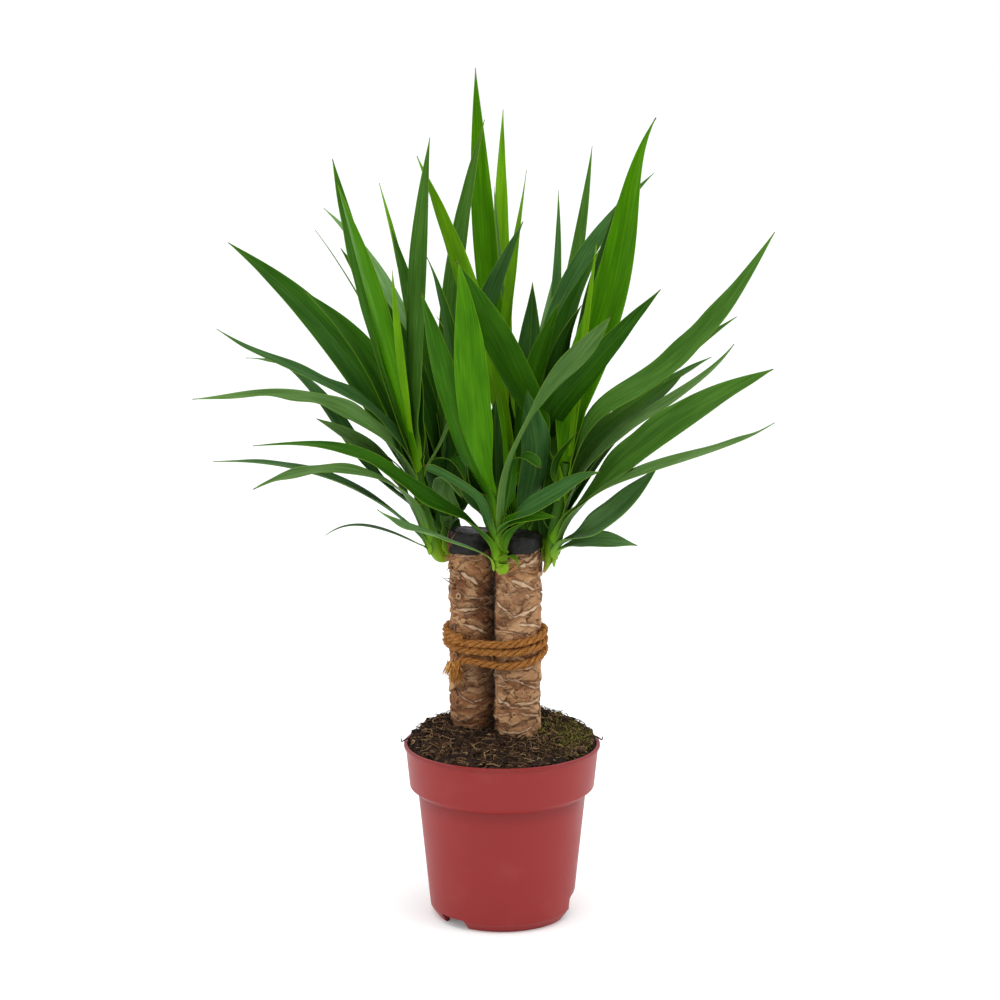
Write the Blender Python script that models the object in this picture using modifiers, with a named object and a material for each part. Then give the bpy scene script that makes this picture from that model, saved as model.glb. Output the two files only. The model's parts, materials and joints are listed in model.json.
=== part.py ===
"""A potted cane yucca: two tied canes with leafy shoots, in soil, in a plastic nursery pot.

Metres, +Z up. Everything is laid out from the middle of the pot's foot, and the empty
that carries every piece is moved at the end, so that the world's origin is the bottom
centre of the whole plant's box.
"""

import math

import bmesh
import bpy
import numpy as np

MM = 0.001
GAP = 0.35  # clearance between pieces that touch, in millimetres

# The pot, in millimetres.
POT_HEIGHT = 152.0
RIM_RADIUS = 85.0
BAND_TOP_RADIUS = 83.4
BAND_BOTTOM_RADIUS = 80.0
BAND_BOTTOM = 115.0
BODY_TOP_RADIUS = 72.8
BODY_TOP = 109.0
BODY_BOTTOM_RADIUS = 62.5
BODY_BOTTOM = 8.0
FOOT_RADIUS = 56.6
FOOT_WIDTH = 3.6
WALL = 1.4
FLOOR_UNDERSIDE = 6.0
NOTCH_WIDTH, NOTCH_HEIGHT, NOTCH_DEPTH = 27.0, 8.6, 24.0
NOTCH_ANGLES = (-134.0, -14.0, 106.0)
DRAIN_RADIUS, DRAIN_RING, DRAINS = 4.0, 34.0, 6

# The soil, the canes and the wax on them.
SOIL_EDGE, SOIL_CROWN = 149.0, 159.0
CANE_RADIUS = 20.0
CANE_FRONT = (14.0, 8.0)
CANE_REAR = (-26.0, 30.0)
CANE_BOTTOM = 45.0
CANE_SIDES = 32
CAPS = {
    "front": {"centre": CANE_FRONT, "top": 334.5, "edge": 317.5, "slant": 0.3},
    "rear": {"centre": CANE_REAR, "top": 334.0, "edge": 316.0, "slant": 0.0},
}
CAP_WALL = 1.4
CAP_PROUD = 0.8

# The coir rope: three turns round both canes, and a frayed tail.
ROPE_RADIUS = 3.0
ROPE_TURNS = 2.7
ROPE_START, ROPE_PITCH, ROPE_RISE = 226.0, 7.3, 9.0
ROPE_TAIL = ((-45.5, 9.5, 205.0), (-44.0, 8.6, 212.0), (-42.0, 7.6, 219.0))

# Each shoot: its stem's line, the stem's radius at the bulb and at the top, and its leaves from
# the lowest up. A leaf is its full width, its roll half-way and at its tip in degrees, and the
# places that its midrib goes through, the last being its tip.
LEAF_THICKNESS = 1.0
LEAF_FOLD = 0.18
LEAF_STATIONS = 11
LOWEST_LEAF, LEAF_SPREAD = 0.12, 0.86
SHOOTS = {
    "left": {
        "line": ((-53, 28, 307), (-61, 24, 326), (-67, 20, 351), (-71, 16, 381), (-73, 14, 410)),
        "radii": (6.5, 3.0),
        "leaves": (
            (10, 0, 0, (-101, 14, 336), (-131, 15, 340), (-152, 16, 331)),
            (22, 10, 5, (-146, -6, 384), (-243, -20, 401)),
            (22, 15, 15, (-95, -14, 381), (-143, -44, 397), (-203, -84, 388)),
            (26, 30, 30, (-116, 2, 408), (-157, -2, 435)),
            (20, 10, 10, (-142, 36, 429), (-170, 58, 460), (-225, 84, 477)),
            (16, 20, 20, (-109, 20, 438), (-148, 30, 461), (-197, 36, 482), (-245, 40, 507)),
            (26, 45, 30, (-99, 2, 416), (-152, -22, 453), (-204, -42, 461), (-254, -60, 459)),
            (28, 20, 20, (-131, 54, 500), (-171, 64, 537)),
            (29, 0, 0, (-113, 34, 515), (-145, 58, 651)),
            (28, -25, -10, (-108, 4, 531), (-137, -6, 633)),
            (16, 35, 35, (-74, 6, 509), (-59, -26, 671)),
        ),
    },
    "front": {
        "line": ((-1, -15, 309), (-3, -19, 327), (-4, -22, 351), (-6, -24, 376)),
        "radii": (5.5, 3.0),
        "leaves": (
            (15, 15, 15, (-44, -36, 337), (-81, -54, 352), (-103, -64, 368)),
            (17, 62, 20, (-34, -32, 356), (-60, -50, 374), (-95, -84, 406), (-134, -112, 427), (-197, -138, 432)),
            (19, -62, -50, (9, -34, 354), (32, -50, 372), (54, -74, 389), (79, -105, 406)),
            (21, 0, 60, (2, -38, 390), (8, -46, 411), (17, -52, 431), (32, -60, 458), (49, -70, 481), (67, -82, 503), (87, -100, 531)),
            (26, 0, 0, (-20, -32, 387), (-29, -46, 411), (-42, -66, 457), (-52, -86, 501), (-64, -110, 551)),
            (28, 0, 0, (-17, -54, 408), (-25, -98, 481), (-34, -150, 578)),
        ),
    },
    "right": {
        "line": ((39, 4, 309), (43, 2, 325), (47, -2, 350), (51, -4, 376), (54, -6, 398)),
        "radii": (4.8, 3.0),
        "leaves": (
            (20, -30, -30, (62, -2, 327), (83, -8, 331), (115, -14, 328)),
            (26, -50, -50, (93, -22, 357), (130, -34, 399)),
            (20, -30, -22, (68, -24, 365), (122, -60, 401), (160, -84, 417), (217, -120, 448)),
            (36, -45, -45, (136, -36, 429), (223, -52, 483)),
            (26, 0, 0, (131, 88, 442), (188, 128, 473)),
            (20, -20, -20, (98, -6, 420), (140, -8, 450), (195, -6, 499)),
            (26, -5, -5, (134, 68, 457), (207, 98, 512)),
            (28, -20, -20, (84, 20, 415), (118, 28, 440), (156, 34, 470)),
            (26, -32, -30, (83, 0, 440), (117, 8, 461), (160, 18, 495), (198, 28, 539), (232, 36, 590)),
            (24, -5, -5, (84, 44, 544), (106, 56, 632)),
            (27, -35, -60, (30, 12, 432), (13, -8, 470), (-9, -40, 516), (-38, -84, 575)),
            (38, -40, -40, (60, 14, 432), (77, 24, 485), (101, 32, 575), (130, 38, 686)),
        ),
    },
    "back": {
        "line": ((-45, 48, 306), (-50, 52, 329), (-53, 56, 351), (-54, 58, 373), (-53, 60, 394)),
        "radii": (5.0, 2.6),
        "leaves": (
            (32, 40, 40, (-104, 84, 430), (-141, 112, 480), (-248, 165, 573)),
            (10, -38, -38, (-128, 150, 522), (-171, 190, 583)),
            (16, 20, 20, (-108, 140, 541), (-164, 205, 602)),
            (23, 35, 35, (-88, 64, 490), (-114, 74, 534), (-141, 88, 573)),
            (26, -10, -10, (-79, 88, 514), (-98, 108, 591)),
            (24, 40, 40, (-14, 46, 523), (18, 36, 599)),
            (17, -55, -75, (-41, 72, 555), (-15, 66, 684)),
        ),
    },
    "behind": {
        "line": ((21, 34, 306), (20, 39, 328), (17, 44, 352), (13, 48, 378), (8, 52, 406)),
        "radii": (5.5, 3.0),
        "leaves": (
            (25, 0, 0, (24, 35, 350), (29, 3, 398), (26, -22, 434), (21, -36, 464)),
            (25, 33, 33, (35, 40, 362), (35, 26, 409), (43, 8, 436), (64, -14, 466), (94, -36, 506), (129, -60, 549)),
            (30, 10, 10, (19, 92, 398), (25, 149, 476), (28, 190, 535)),
            (23, 45, 60, (43, 43, 418), (51, 33, 489), (68, 32, 528)),
            (30, -15, -15, (57, 72, 512), (85, 82, 572)),
            (12, 20, 10, (49, 172, 520), (52, 216, 618)),
            (15, -5, -5, (66, 150, 554), (82, 188, 659)),
            (17, -40, -50, (74, 124, 564), (137, 160, 636)),
            (18, 45, 60, (33, 28, 490), (49, 22, 532)),
            (21, -33, -33, (-29, 16, 542), (-71, 4, 655)),
            (16, -20, -20, (-1, 116, 578), (1, 140, 692)),
            (21, 30, 30, (-15, 86, 580), (-23, 98, 728)),
        ),
    },
}

COLOURS = {
    "pot_plastic": ((0.29, 0.035, 0.034), 0.45),
    "potting_soil": ((0.035, 0.02, 0.012), 0.95),
    "cane_bark": ((0.33, 0.2, 0.11), 0.85),
    "cane_wax": ((0.012, 0.012, 0.014), 0.4),
    "coir": ((0.36, 0.17, 0.05), 0.9),
    "shoot_green": ((0.22, 0.36, 0.05), 0.45),
    "leaf_green": ((0.06, 0.18, 0.02), 0.4),
}


def clear_scene():
    for old in list(bpy.data.objects):
        bpy.data.objects.remove(old, do_unlink=True)


def make_material(name):
    colour, roughness = COLOURS[name]
    material = bpy.data.materials.new(name)
    material.use_nodes = True
    shader = material.node_tree.nodes["Principled BSDF"]
    shader.inputs["Base Color"].default_value = (*colour, 1)
    shader.inputs["Roughness"].default_value = roughness
    shader.inputs["Metallic"].default_value = 0.0
    return material


def add_object(name, data, collection, material, parent):
    obj = bpy.data.objects.new(name, data)
    collection.objects.link(obj)
    obj.data.materials.append(material)
    obj.parent = parent
    return obj


def turned(name, profile, segments, collection, material, parent, place=(0.0, 0.0)):
    """A solid turned from a closed outline of (radius, height), outer side first, top down."""
    mesh = bpy.data.meshes.new(name)
    points = [(radius * MM, 0, height * MM) for radius, height in profile]
    edges = [(i, (i + 1) % len(points)) for i in range(len(points))]
    mesh.from_pydata(points, [e for e in edges if points[e[0]][0] + points[e[1]][0] > 0], [])
    obj = add_object(name, mesh, collection, material, parent)
    obj.location = (place[0] * MM, place[1] * MM, 0)
    screw = obj.modifiers.new("Turn", "SCREW")
    screw.steps = screw.render_steps = segments
    screw.use_merge_vertices = True
    screw.merge_threshold = 1e-5
    screw.use_smooth_shade = True
    return obj


def applied(obj):
    """The object with its modifiers worked into its mesh."""
    graph = bpy.context.evaluated_depsgraph_get()
    mesh = bpy.data.meshes.new_from_object(obj.evaluated_get(graph))
    obj.modifiers.clear()
    obj.data = mesh
    return obj


def add_cutter(name, shape, place, turn, cutters, parent):
    """Puts a hidden shape, in millimetres, where a Boolean will take it away."""
    bmesh.ops.scale(shape, vec=(MM, MM, MM), verts=shape.verts)
    mesh = bpy.data.meshes.new(name)
    shape.to_mesh(mesh)
    shape.free()
    obj = bpy.data.objects.new(name, mesh)
    cutters.objects.link(obj)
    obj.parent = parent
    obj.location = [value * MM for value in place]
    obj.rotation_euler = (0, 0, turn)
    obj.hide_render = True
    obj.display_type = "WIRE"
    return obj


def box_cutter(name, size, place, turn, cutters, parent):
    shape = bmesh.new()
    bmesh.ops.create_cube(shape, size=1)
    bmesh.ops.scale(shape, vec=size, verts=shape.verts)
    return add_cutter(name, shape, place, turn, cutters, parent)


def drill(name, radius, depth, sides, place, cutters, parent):
    shape = bmesh.new()
    bmesh.ops.create_cone(
        shape, cap_ends=True, segments=sides, radius1=radius, radius2=radius, depth=depth
    )
    return add_cutter(name, shape, place, 0.0, cutters, parent)


def cut(obj, tool):
    boolean = obj.modifiers.new(tool.name, "BOOLEAN")
    boolean.operation = "DIFFERENCE"
    boolean.object = tool


def inner_radius(height):
    """The pot's inner radius at a height above its floor."""
    steps = (
        (FLOOR_UNDERSIDE + WALL, BODY_BOTTOM_RADIUS - WALL - 0.4),
        (BODY_TOP, BODY_TOP_RADIUS - WALL),
        (BAND_BOTTOM, BAND_BOTTOM_RADIUS - WALL),
        (POT_HEIGHT, BAND_TOP_RADIUS - WALL),
    )
    return float(np.interp(height, [s[0] for s in steps], [s[1] for s in steps]))


def make_pot(collection, cutters, material, parent):
    outside = (
        (RIM_RADIUS - 0.8, POT_HEIGHT),
        (RIM_RADIUS, POT_HEIGHT - 0.8),
        (RIM_RADIUS, POT_HEIGHT - 2.6),
        (BAND_TOP_RADIUS, POT_HEIGHT - 4.0),
        (BAND_BOTTOM_RADIUS, BAND_BOTTOM),
        (BODY_TOP_RADIUS, BODY_TOP),
        (BODY_BOTTOM_RADIUS, BODY_BOTTOM),
        (BODY_BOTTOM_RADIUS - 1.0, BODY_BOTTOM - 3.8),
        (FOOT_RADIUS + 2.4, 1.2),
        (FOOT_RADIUS, 0.0),
    )
    underside = (
        (FOOT_RADIUS - FOOT_WIDTH, 0.0),
        (FOOT_RADIUS - FOOT_WIDTH - 1.0, FLOOR_UNDERSIDE),
        (0.0, FLOOR_UNDERSIDE),
    )
    inside = [(0.0, FLOOR_UNDERSIDE + WALL)] + [
        (inner_radius(height), height)
        for height in (FLOOR_UNDERSIDE + WALL, BODY_TOP, BAND_BOTTOM, POT_HEIGHT)
    ]
    pot = turned("pot", (*outside, *underside, *inside), 64, collection, material, parent)
    for number, angle in enumerate(NOTCH_ANGLES):
        turn = math.radians(angle)
        place = (FOOT_RADIUS * math.cos(turn), FOOT_RADIUS * math.sin(turn), 0)
        size = (NOTCH_DEPTH, NOTCH_WIDTH, 2 * NOTCH_HEIGHT)
        cut(pot, box_cutter(f"notch_{number}", size, place, turn, cutters, parent))
    for number in range(DRAINS):
        turn = math.tau * number / DRAINS
        place = (DRAIN_RING * math.cos(turn), DRAIN_RING * math.sin(turn), FLOOR_UNDERSIDE)
        cut(pot, drill(f"drain_{number}", DRAIN_RADIUS, 4 * WALL, 16, place, cutters, parent))
    return pot


def make_soil(collection, cutters, material, parent):
    floor = FLOOR_UNDERSIDE + WALL + GAP
    wall = [(inner_radius(h) - GAP, h) for h in (SOIL_EDGE, BAND_BOTTOM, BODY_TOP, floor)]
    crown = [
        (radius, SOIL_EDGE + (SOIL_CROWN - SOIL_EDGE) * math.cos(math.pi / 2 * radius / 82.0))
        for radius in (0.0, 18.0, 36.0, 54.0, 70.0)
    ]
    soil = turned("soil", (*wall, (0.0, floor), *crown), 48, collection, material, parent)
    for name, centre in (("front", CANE_FRONT), ("rear", CANE_REAR)):
        bottom = CANE_BOTTOM - GAP
        depth = 2 * (SOIL_CROWN - bottom)
        radius = (CANE_RADIUS + GAP) / math.cos(math.pi / CANE_SIDES)
        place = (*centre, bottom + depth / 2)
        hole = drill(f"planting_hole_{name}", radius, depth, CANE_SIDES, place, cutters, parent)
        cut(soil, hole)
    return soil


def slanted(obj, middle, slant):
    """Tips everything on the mesh below a height, so that a level edge runs up towards +X."""
    for vertex in obj.data.vertices:
        if vertex.co.z < middle * MM:
            vertex.co.z += slant * vertex.co.x
    return obj


def make_cane(name, collection, material, parent):
    """A cane, drawn in at its top where the wax covers it."""
    cap = CAPS[name]
    reach = CANE_RADIUS * abs(cap["slant"])
    neck = CANE_RADIUS + CAP_PROUD - CAP_WALL - GAP
    shoulder = cap["edge"] - reach - GAP
    profile = (
        (0.0, cap["top"] - CAP_WALL - GAP),
        (neck - 1.5, cap["top"] - CAP_WALL - GAP),
        (neck, cap["top"] - CAP_WALL - GAP - 1.5),
        (neck, shoulder),
        (CANE_RADIUS, shoulder - 0.2),
        (CANE_RADIUS, CANE_BOTTOM),
        (0.0, CANE_BOTTOM),
    )
    return turned(f"cane_{name}", profile, CANE_SIDES, collection, material, parent, cap["centre"])


def make_cap(name, collection, material, parent):
    """The wax on a cane's sawn top: a cup upside down, its lower edge at a slant."""
    cap = CAPS[name]
    outer = CANE_RADIUS + CAP_PROUD
    inner = outer - CAP_WALL
    profile = (
        (0.0, cap["top"]),
        (outer - 2.5, cap["top"]),
        (outer - 0.6, cap["top"] - 1.0),
        (outer, cap["top"] - 3.0),
        (outer, cap["edge"]),
        (inner, cap["edge"]),
        (inner, cap["top"] - 3.4),
        (inner - 2.0, cap["top"] - CAP_WALL),
        (0.0, cap["top"] - CAP_WALL),
    )
    wax = turned(f"wax_cap_{name}", profile, CANE_SIDES, collection, material, parent, cap["centre"])
    return slanted(applied(wax), cap["top"] - 6.0, cap["slant"])


def belt_point(share):
    """The place, at a share of one turn, on the rope's line round both canes, from front left."""
    radius = CANE_RADIUS + GAP + ROPE_RADIUS
    rear, front = np.array(CANE_REAR), np.array(CANE_FRONT)
    apart = np.linalg.norm(front - rear)
    along = (front - rear) / apart
    outward = np.array((along[1], -along[0]))
    half_round = math.pi * radius
    reach = (share % 1.0) * 2 * (apart + half_round)
    if reach < apart:
        return rear + outward * radius + along * reach
    if reach < apart + half_round:
        turn = (reach - apart) / radius
        return front + radius * (outward * math.cos(turn) + along * math.sin(turn))
    if reach < 2 * apart + half_round:
        return front - outward * radius - along * (reach - apart - half_round)
    turn = (reach - 2 * apart - half_round) / radius
    return rear - radius * (outward * math.cos(turn) + along * math.sin(turn))


def rope_line():
    """The rope's middle line: its tail, then its turns, each above the last and higher behind."""
    line = [np.array(point) for point in ROPE_TAIL]
    steps = round(26 * ROPE_TURNS)
    for step in range(steps + 1):
        share = 0.015 + (ROPE_TURNS - 0.015) * step / steps
        level = ROPE_START + ROPE_PITCH * share
        behind = (1 - math.cos(math.tau * (share - 0.1))) / 2
        line.append(np.array((*belt_point(share), level + ROPE_RISE * behind)))
    return np.array(line)


def tube(name, line, radii, resolution, collection, material, parent):
    """A tube along a line of points, with a radius at each, closed at both ends."""
    curve = bpy.data.curves.new(name, "CURVE")
    curve.dimensions = "3D"
    curve.bevel_depth = MM
    curve.bevel_resolution = resolution
    curve.use_fill_caps = True
    spline = curve.splines.new("POLY")
    spline.points.add(len(line) - 1)
    for point, place, radius in zip(spline.points, line, radii):
        point.co = (*(place * MM), 1)
        point.radius = radius
    return add_object(name, curve, collection, material, parent)


def unit(vectors):
    return vectors / np.linalg.norm(vectors, axis=-1, keepdims=True)


def smooth_line(points, count):
    """Points along one smooth curve through the given ones."""
    points = np.array(points, float)
    steps = np.linalg.norm(np.diff(points, axis=0), axis=1)
    reach = np.concatenate(([0.0], np.cumsum(steps))) / steps.sum()
    along = np.linspace(0, 1, count)
    if len(points) < 6:
        bend = np.polyfit(reach, points, len(points) - 1)
        return np.stack([np.polyval(bend[:, axis], along) for axis in range(3)], axis=-1)
    # Through more points it is a natural cubic spline.
    gap = np.diff(reach)[:, None]
    sums, change = np.eye(len(points)), np.zeros(points.shape)
    for at in range(1, len(points) - 1):
        sums[at, at - 1 : at + 2] = gap[at - 1, 0], 2 * (gap[at - 1, 0] + gap[at, 0]), gap[at, 0]
    change[1:-1] = 6 * np.diff(np.diff(points, axis=0) / gap, axis=0)
    bend = np.linalg.solve(sums, change)
    at = np.clip(np.searchsorted(reach, along) - 1, 0, len(points) - 2)
    since, until, gap = (along - reach[at])[:, None], (reach[at + 1] - along)[:, None], gap[at]
    ends = (points[at] / gap - bend[at] * gap / 6) * until
    ends += (points[at + 1] / gap - bend[at + 1] * gap / 6) * since
    return ends + (bend[at] * until**3 + bend[at + 1] * since**3) / (6 * gap)


def shoot_line(shoot):
    return smooth_line(shoot["line"], 41)


def make_shoot(name, collection, material, parent):
    """The short stem that a shoot's leaves clasp: a bulb on the cane, drawn out to the top."""
    bottom, top = SHOOTS[name]["radii"]
    line = shoot_line(SHOOTS[name])[::4]
    radii = np.linspace(bottom, top, len(line))
    radii[0] *= 0.72
    return tube(f"shoot_{name}", line, radii, 3, collection, material, parent)


def leaf_root(shoot, number, towards):
    """Where a leaf leaves its shoot: higher for each one, on the side that it heads for."""
    share = LOWEST_LEAF + LEAF_SPREAD * number / (len(shoot["leaves"]) - 1)
    line = shoot_line(shoot)
    place = line[round(share * (len(line) - 1))]
    bottom, top = shoot["radii"]
    heading = (np.array(towards, float) - place) * (1, 1, 0)
    return place + unit(heading) * (bottom + (top - bottom) * share + 2.4)


def width_share(t):
    """How much of its full width a leaf has at t: a narrow neck, then broad, then a long point."""
    neck = 0.15
    ease = np.clip((t - 0.06) / 0.46, 0, 1)
    rise = neck + (1 - neck) * ease * ease * (3 - 2 * ease)
    fall = np.sin(math.pi / 2 * np.clip((1 - t) / 0.42, 0, 1) ** 0.8)
    return np.maximum(rise * fall, 0.03)


def leaf_frame(line, above, roll, tip_roll):
    """At each point, the leaf's side and the way its upper face looks, up and in to the shoot."""
    t = np.linspace(0, 1, len(line))
    along = unit(np.gradient(line, axis=0))
    inward = unit(above - line)
    face = unit(inward - along * (inward * along).sum(-1, keepdims=True))
    side = np.cross(along, face)
    ease = np.clip(t / 0.35, 0, 1)
    ease = ease * ease * (3 - 2 * ease)
    late = np.clip((t - 0.35) / 0.65, 0, 1)
    turn = np.radians((roll + (tip_roll - roll) * late) * ease)[:, None]
    return side * np.cos(turn) + face * np.sin(turn), face * np.cos(turn) - side * np.sin(turn)


def make_leaf(name, shoot, number, collection, material, parent):
    """One leaf: a grid bent along its midrib, folded a little, and given a thickness."""
    width, roll, tip_roll, *places = shoot["leaves"][number]
    line = smooth_line([leaf_root(shoot, number, places[0]), *places], LEAF_STATIONS)
    above = shoot_line(shoot)[-1] + (0, 0, 600)
    side, face = leaf_frame(line, above, roll, tip_roll)
    half = width / 2 * width_share(np.linspace(0, 1, LEAF_STATIONS))
    shape = bmesh.new()
    bmesh.ops.create_grid(shape, x_segments=LEAF_STATIONS - 1, y_segments=2, size=1)
    for vertex in shape.verts:
        station = round((vertex.co.x + 1) / 2 * (LEAF_STATIONS - 1))
        across = round(vertex.co.y)
        place = line[station] + half[station] * (
            side[station] * across + face[station] * LEAF_FOLD * abs(across)
        )
        vertex.co = place * MM
    mesh = bpy.data.meshes.new(name)
    shape.to_mesh(mesh)
    shape.free()
    mesh.shade_smooth()
    leaf = add_object(name, mesh, collection, material, parent)
    solid = leaf.modifiers.new("Thickness", "SOLIDIFY")
    solid.thickness = LEAF_THICKNESS * MM
    solid.offset = 0.0
    return leaf


def stand_on_origin(root, collection):
    """Moves the root so that the origin is the bottom centre of the box round every piece."""
    bpy.context.view_layer.update()
    graph = bpy.context.evaluated_depsgraph_get()
    corners = []
    for obj in collection.objects:
        if obj.type == "EMPTY":
            continue
        evaluated = obj.evaluated_get(graph)
        mesh = evaluated.to_mesh()
        places = np.empty(len(mesh.vertices) * 3, np.float32)
        mesh.vertices.foreach_get("co", places)
        evaluated.to_mesh_clear()
        places = places.reshape(-1, 3) + np.array(obj.matrix_world.translation)
        corners += [places.min(axis=0), places.max(axis=0)]
    low, high = np.min(corners, axis=0), np.max(corners, axis=0)
    root.location = (-(low[0] + high[0]) / 2, -(low[1] + high[1]) / 2, -low[2])


def main():
    clear_scene()
    collection = bpy.data.collections.new("potted_yucca")
    cutters = bpy.data.collections.new("cutters")
    for group in (collection, cutters):
        bpy.context.scene.collection.children.link(group)
    root = bpy.data.objects.new("yucca_root", None)
    collection.objects.link(root)
    material = {name: make_material(name) for name in COLOURS}

    make_pot(collection, cutters, material["pot_plastic"], root)
    make_soil(collection, cutters, material["potting_soil"], root)
    for name in CAPS:
        make_cane(name, collection, material["cane_bark"], root)
        make_cap(name, collection, material["cane_wax"], root)
    line = rope_line()
    radii = np.full(len(line), ROPE_RADIUS)
    tube("rope_tie", line, radii, 2, collection, material["coir"], root)
    for name, shoot in SHOOTS.items():
        make_shoot(name, collection, material["shoot_green"], root)
        for number in range(len(shoot["leaves"])):
            leaf_name = f"leaf_{name}_{number + 1:02d}"
            make_leaf(leaf_name, shoot, number, collection, material["leaf_green"], root)
    stand_on_origin(root, collection)


main()
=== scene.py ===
# Potted yucca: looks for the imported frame. Lengths are in millimetres round the pot's axis,
# and turn to metres where a mesh is made.
import json
import math

import bmesh
import bpy
import numpy as np
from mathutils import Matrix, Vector, noise

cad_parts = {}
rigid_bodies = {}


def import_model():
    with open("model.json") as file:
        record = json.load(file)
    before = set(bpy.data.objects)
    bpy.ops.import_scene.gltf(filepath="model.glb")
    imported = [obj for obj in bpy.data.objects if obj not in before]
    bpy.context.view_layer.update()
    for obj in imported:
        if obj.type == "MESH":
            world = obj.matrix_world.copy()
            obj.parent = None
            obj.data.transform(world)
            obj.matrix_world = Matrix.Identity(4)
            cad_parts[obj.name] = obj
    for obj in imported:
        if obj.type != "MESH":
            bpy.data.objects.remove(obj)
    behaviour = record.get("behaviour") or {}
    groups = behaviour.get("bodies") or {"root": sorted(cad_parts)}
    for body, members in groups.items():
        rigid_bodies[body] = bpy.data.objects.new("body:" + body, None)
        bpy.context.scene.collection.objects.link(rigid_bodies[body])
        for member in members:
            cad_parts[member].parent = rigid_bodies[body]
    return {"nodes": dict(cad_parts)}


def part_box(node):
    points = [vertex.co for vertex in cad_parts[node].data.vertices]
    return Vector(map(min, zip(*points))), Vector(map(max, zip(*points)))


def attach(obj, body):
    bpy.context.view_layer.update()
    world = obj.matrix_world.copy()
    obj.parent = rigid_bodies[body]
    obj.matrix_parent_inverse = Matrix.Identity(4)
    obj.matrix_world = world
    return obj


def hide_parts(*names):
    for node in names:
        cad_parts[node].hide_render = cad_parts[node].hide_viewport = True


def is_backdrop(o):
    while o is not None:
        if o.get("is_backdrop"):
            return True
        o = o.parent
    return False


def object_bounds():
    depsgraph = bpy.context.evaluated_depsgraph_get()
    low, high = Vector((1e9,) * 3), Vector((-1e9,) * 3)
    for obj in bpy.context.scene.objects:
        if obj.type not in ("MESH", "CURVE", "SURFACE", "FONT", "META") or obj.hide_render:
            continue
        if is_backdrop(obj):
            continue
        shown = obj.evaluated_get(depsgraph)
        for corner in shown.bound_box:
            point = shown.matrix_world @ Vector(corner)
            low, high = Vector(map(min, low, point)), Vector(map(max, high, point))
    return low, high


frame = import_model()
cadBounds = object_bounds()
mm = 0.001
potLow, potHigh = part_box("pot")
potAxis = Vector(((potLow.x + potHigh.x) / 2, (potLow.y + potHigh.y) / 2, 0))
print(len(frame["nodes"]), "parts in the frame")


def fromHex(text):
    channels = [int(text[at : at + 2], 16) / 255 for at in (1, 3, 5)]
    return (*[c / 12.92 if c <= 0.04045 else ((c + 0.055) / 1.055) ** 2.4 for c in channels], 1)


def setInputs(node, inputs):  # each a value, an output, or a node whose output in use is taken
    for name, value in inputs.items():
        if isinstance(value, bpy.types.Node):
            value = next(output for output in value.outputs if output.enabled)
        if isinstance(value, bpy.types.NodeSocket):
            node.id_data.links.new(value, node.inputs[name])
        else:
            node.inputs[name].default_value = value


def addNode(tree, kind, inputs=None, stops=None, **settings):
    node = tree.nodes.new("ShaderNode" + kind)
    for name, value in settings.items():
        setattr(node, name, value)
    setInputs(node, inputs or {})
    for number, (place, colour) in enumerate(stops or ()):
        elements = node.color_ramp.elements
        element = elements[number] if number < 2 else elements.new(place)
        element.position = place
        element.color = fromHex(colour)
    return node


def newMaterial(name, sockets):
    material = bpy.data.materials.new(name)
    material.use_nodes = True
    shader = material.node_tree.nodes["Principled BSDF"]
    setInputs(shader, sockets)
    return material, material.node_tree, shader


# Each layer: the value it follows, where it starts and where it is full, how much of it, its tint.
def layered(tree, colour, layers, blend="MIX"):
    for value, start, full, most, tint in layers:
        inputs = {"Value": value, "From Min": start, "From Max": full, "To Max": most}
        share = addNode(tree, "MapRange", inputs, interpolation_type="SMOOTHSTEP")
        inputs = {0: share, 6: colour, 7: fromHex(tint)}
        colour = addNode(tree, "Mix", inputs, data_type="RGBA", blend_type=blend)
    return colour


def unit(vectors):
    return vectors / np.linalg.norm(vectors, axis=-1, keepdims=True)


def ramp(value, low, high):  # 0 up to low, 1 from high on
    return np.clip((value - low) / (high - low), 0, 1)


def bell(value, width, power=2):  # 1 at the middle, and down to nothing past the width
    return np.exp(-((value / width) ** power))


def eased(share):  # from 0 to 1, slow at both ends
    share = np.clip(share, 0, 1)
    return share * share * (3 - 2 * share)


def wrapped(degrees):
    return (degrees + 180) % 360 - 180


def around(radius, angle, z, middle=(0, 0)):  # points at a radius and an angle from a middle
    return np.stack([middle[0] + radius * np.cos(angle), middle[1] + radius * np.sin(angle), z], axis=-1)


def lengthsAlong(line):
    return np.concatenate(([0], np.cumsum(np.linalg.norm(np.diff(line, axis=0), axis=1))))


def soften(line, first, last, times):  # draws the points from first up to last to their neighbours
    for _ in range(times):
        beside = line[first - 1 : last - 1] + line[first + 1 : last + 1]
        line[first:last] = (beside + 2 * line[first:last]) / 4


def addObject(name, data):
    made = bpy.data.objects.new(name, data)
    bpy.context.scene.collection.objects.link(made)
    return made


def addPiece(name, mesh, material, slot, *nodes):
    piece = addObject(name, mesh)
    mesh.materials.append(material)
    piece.location = potAxis
    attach(piece, "root")
    if nodes:
        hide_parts(*nodes)
    return piece


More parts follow.
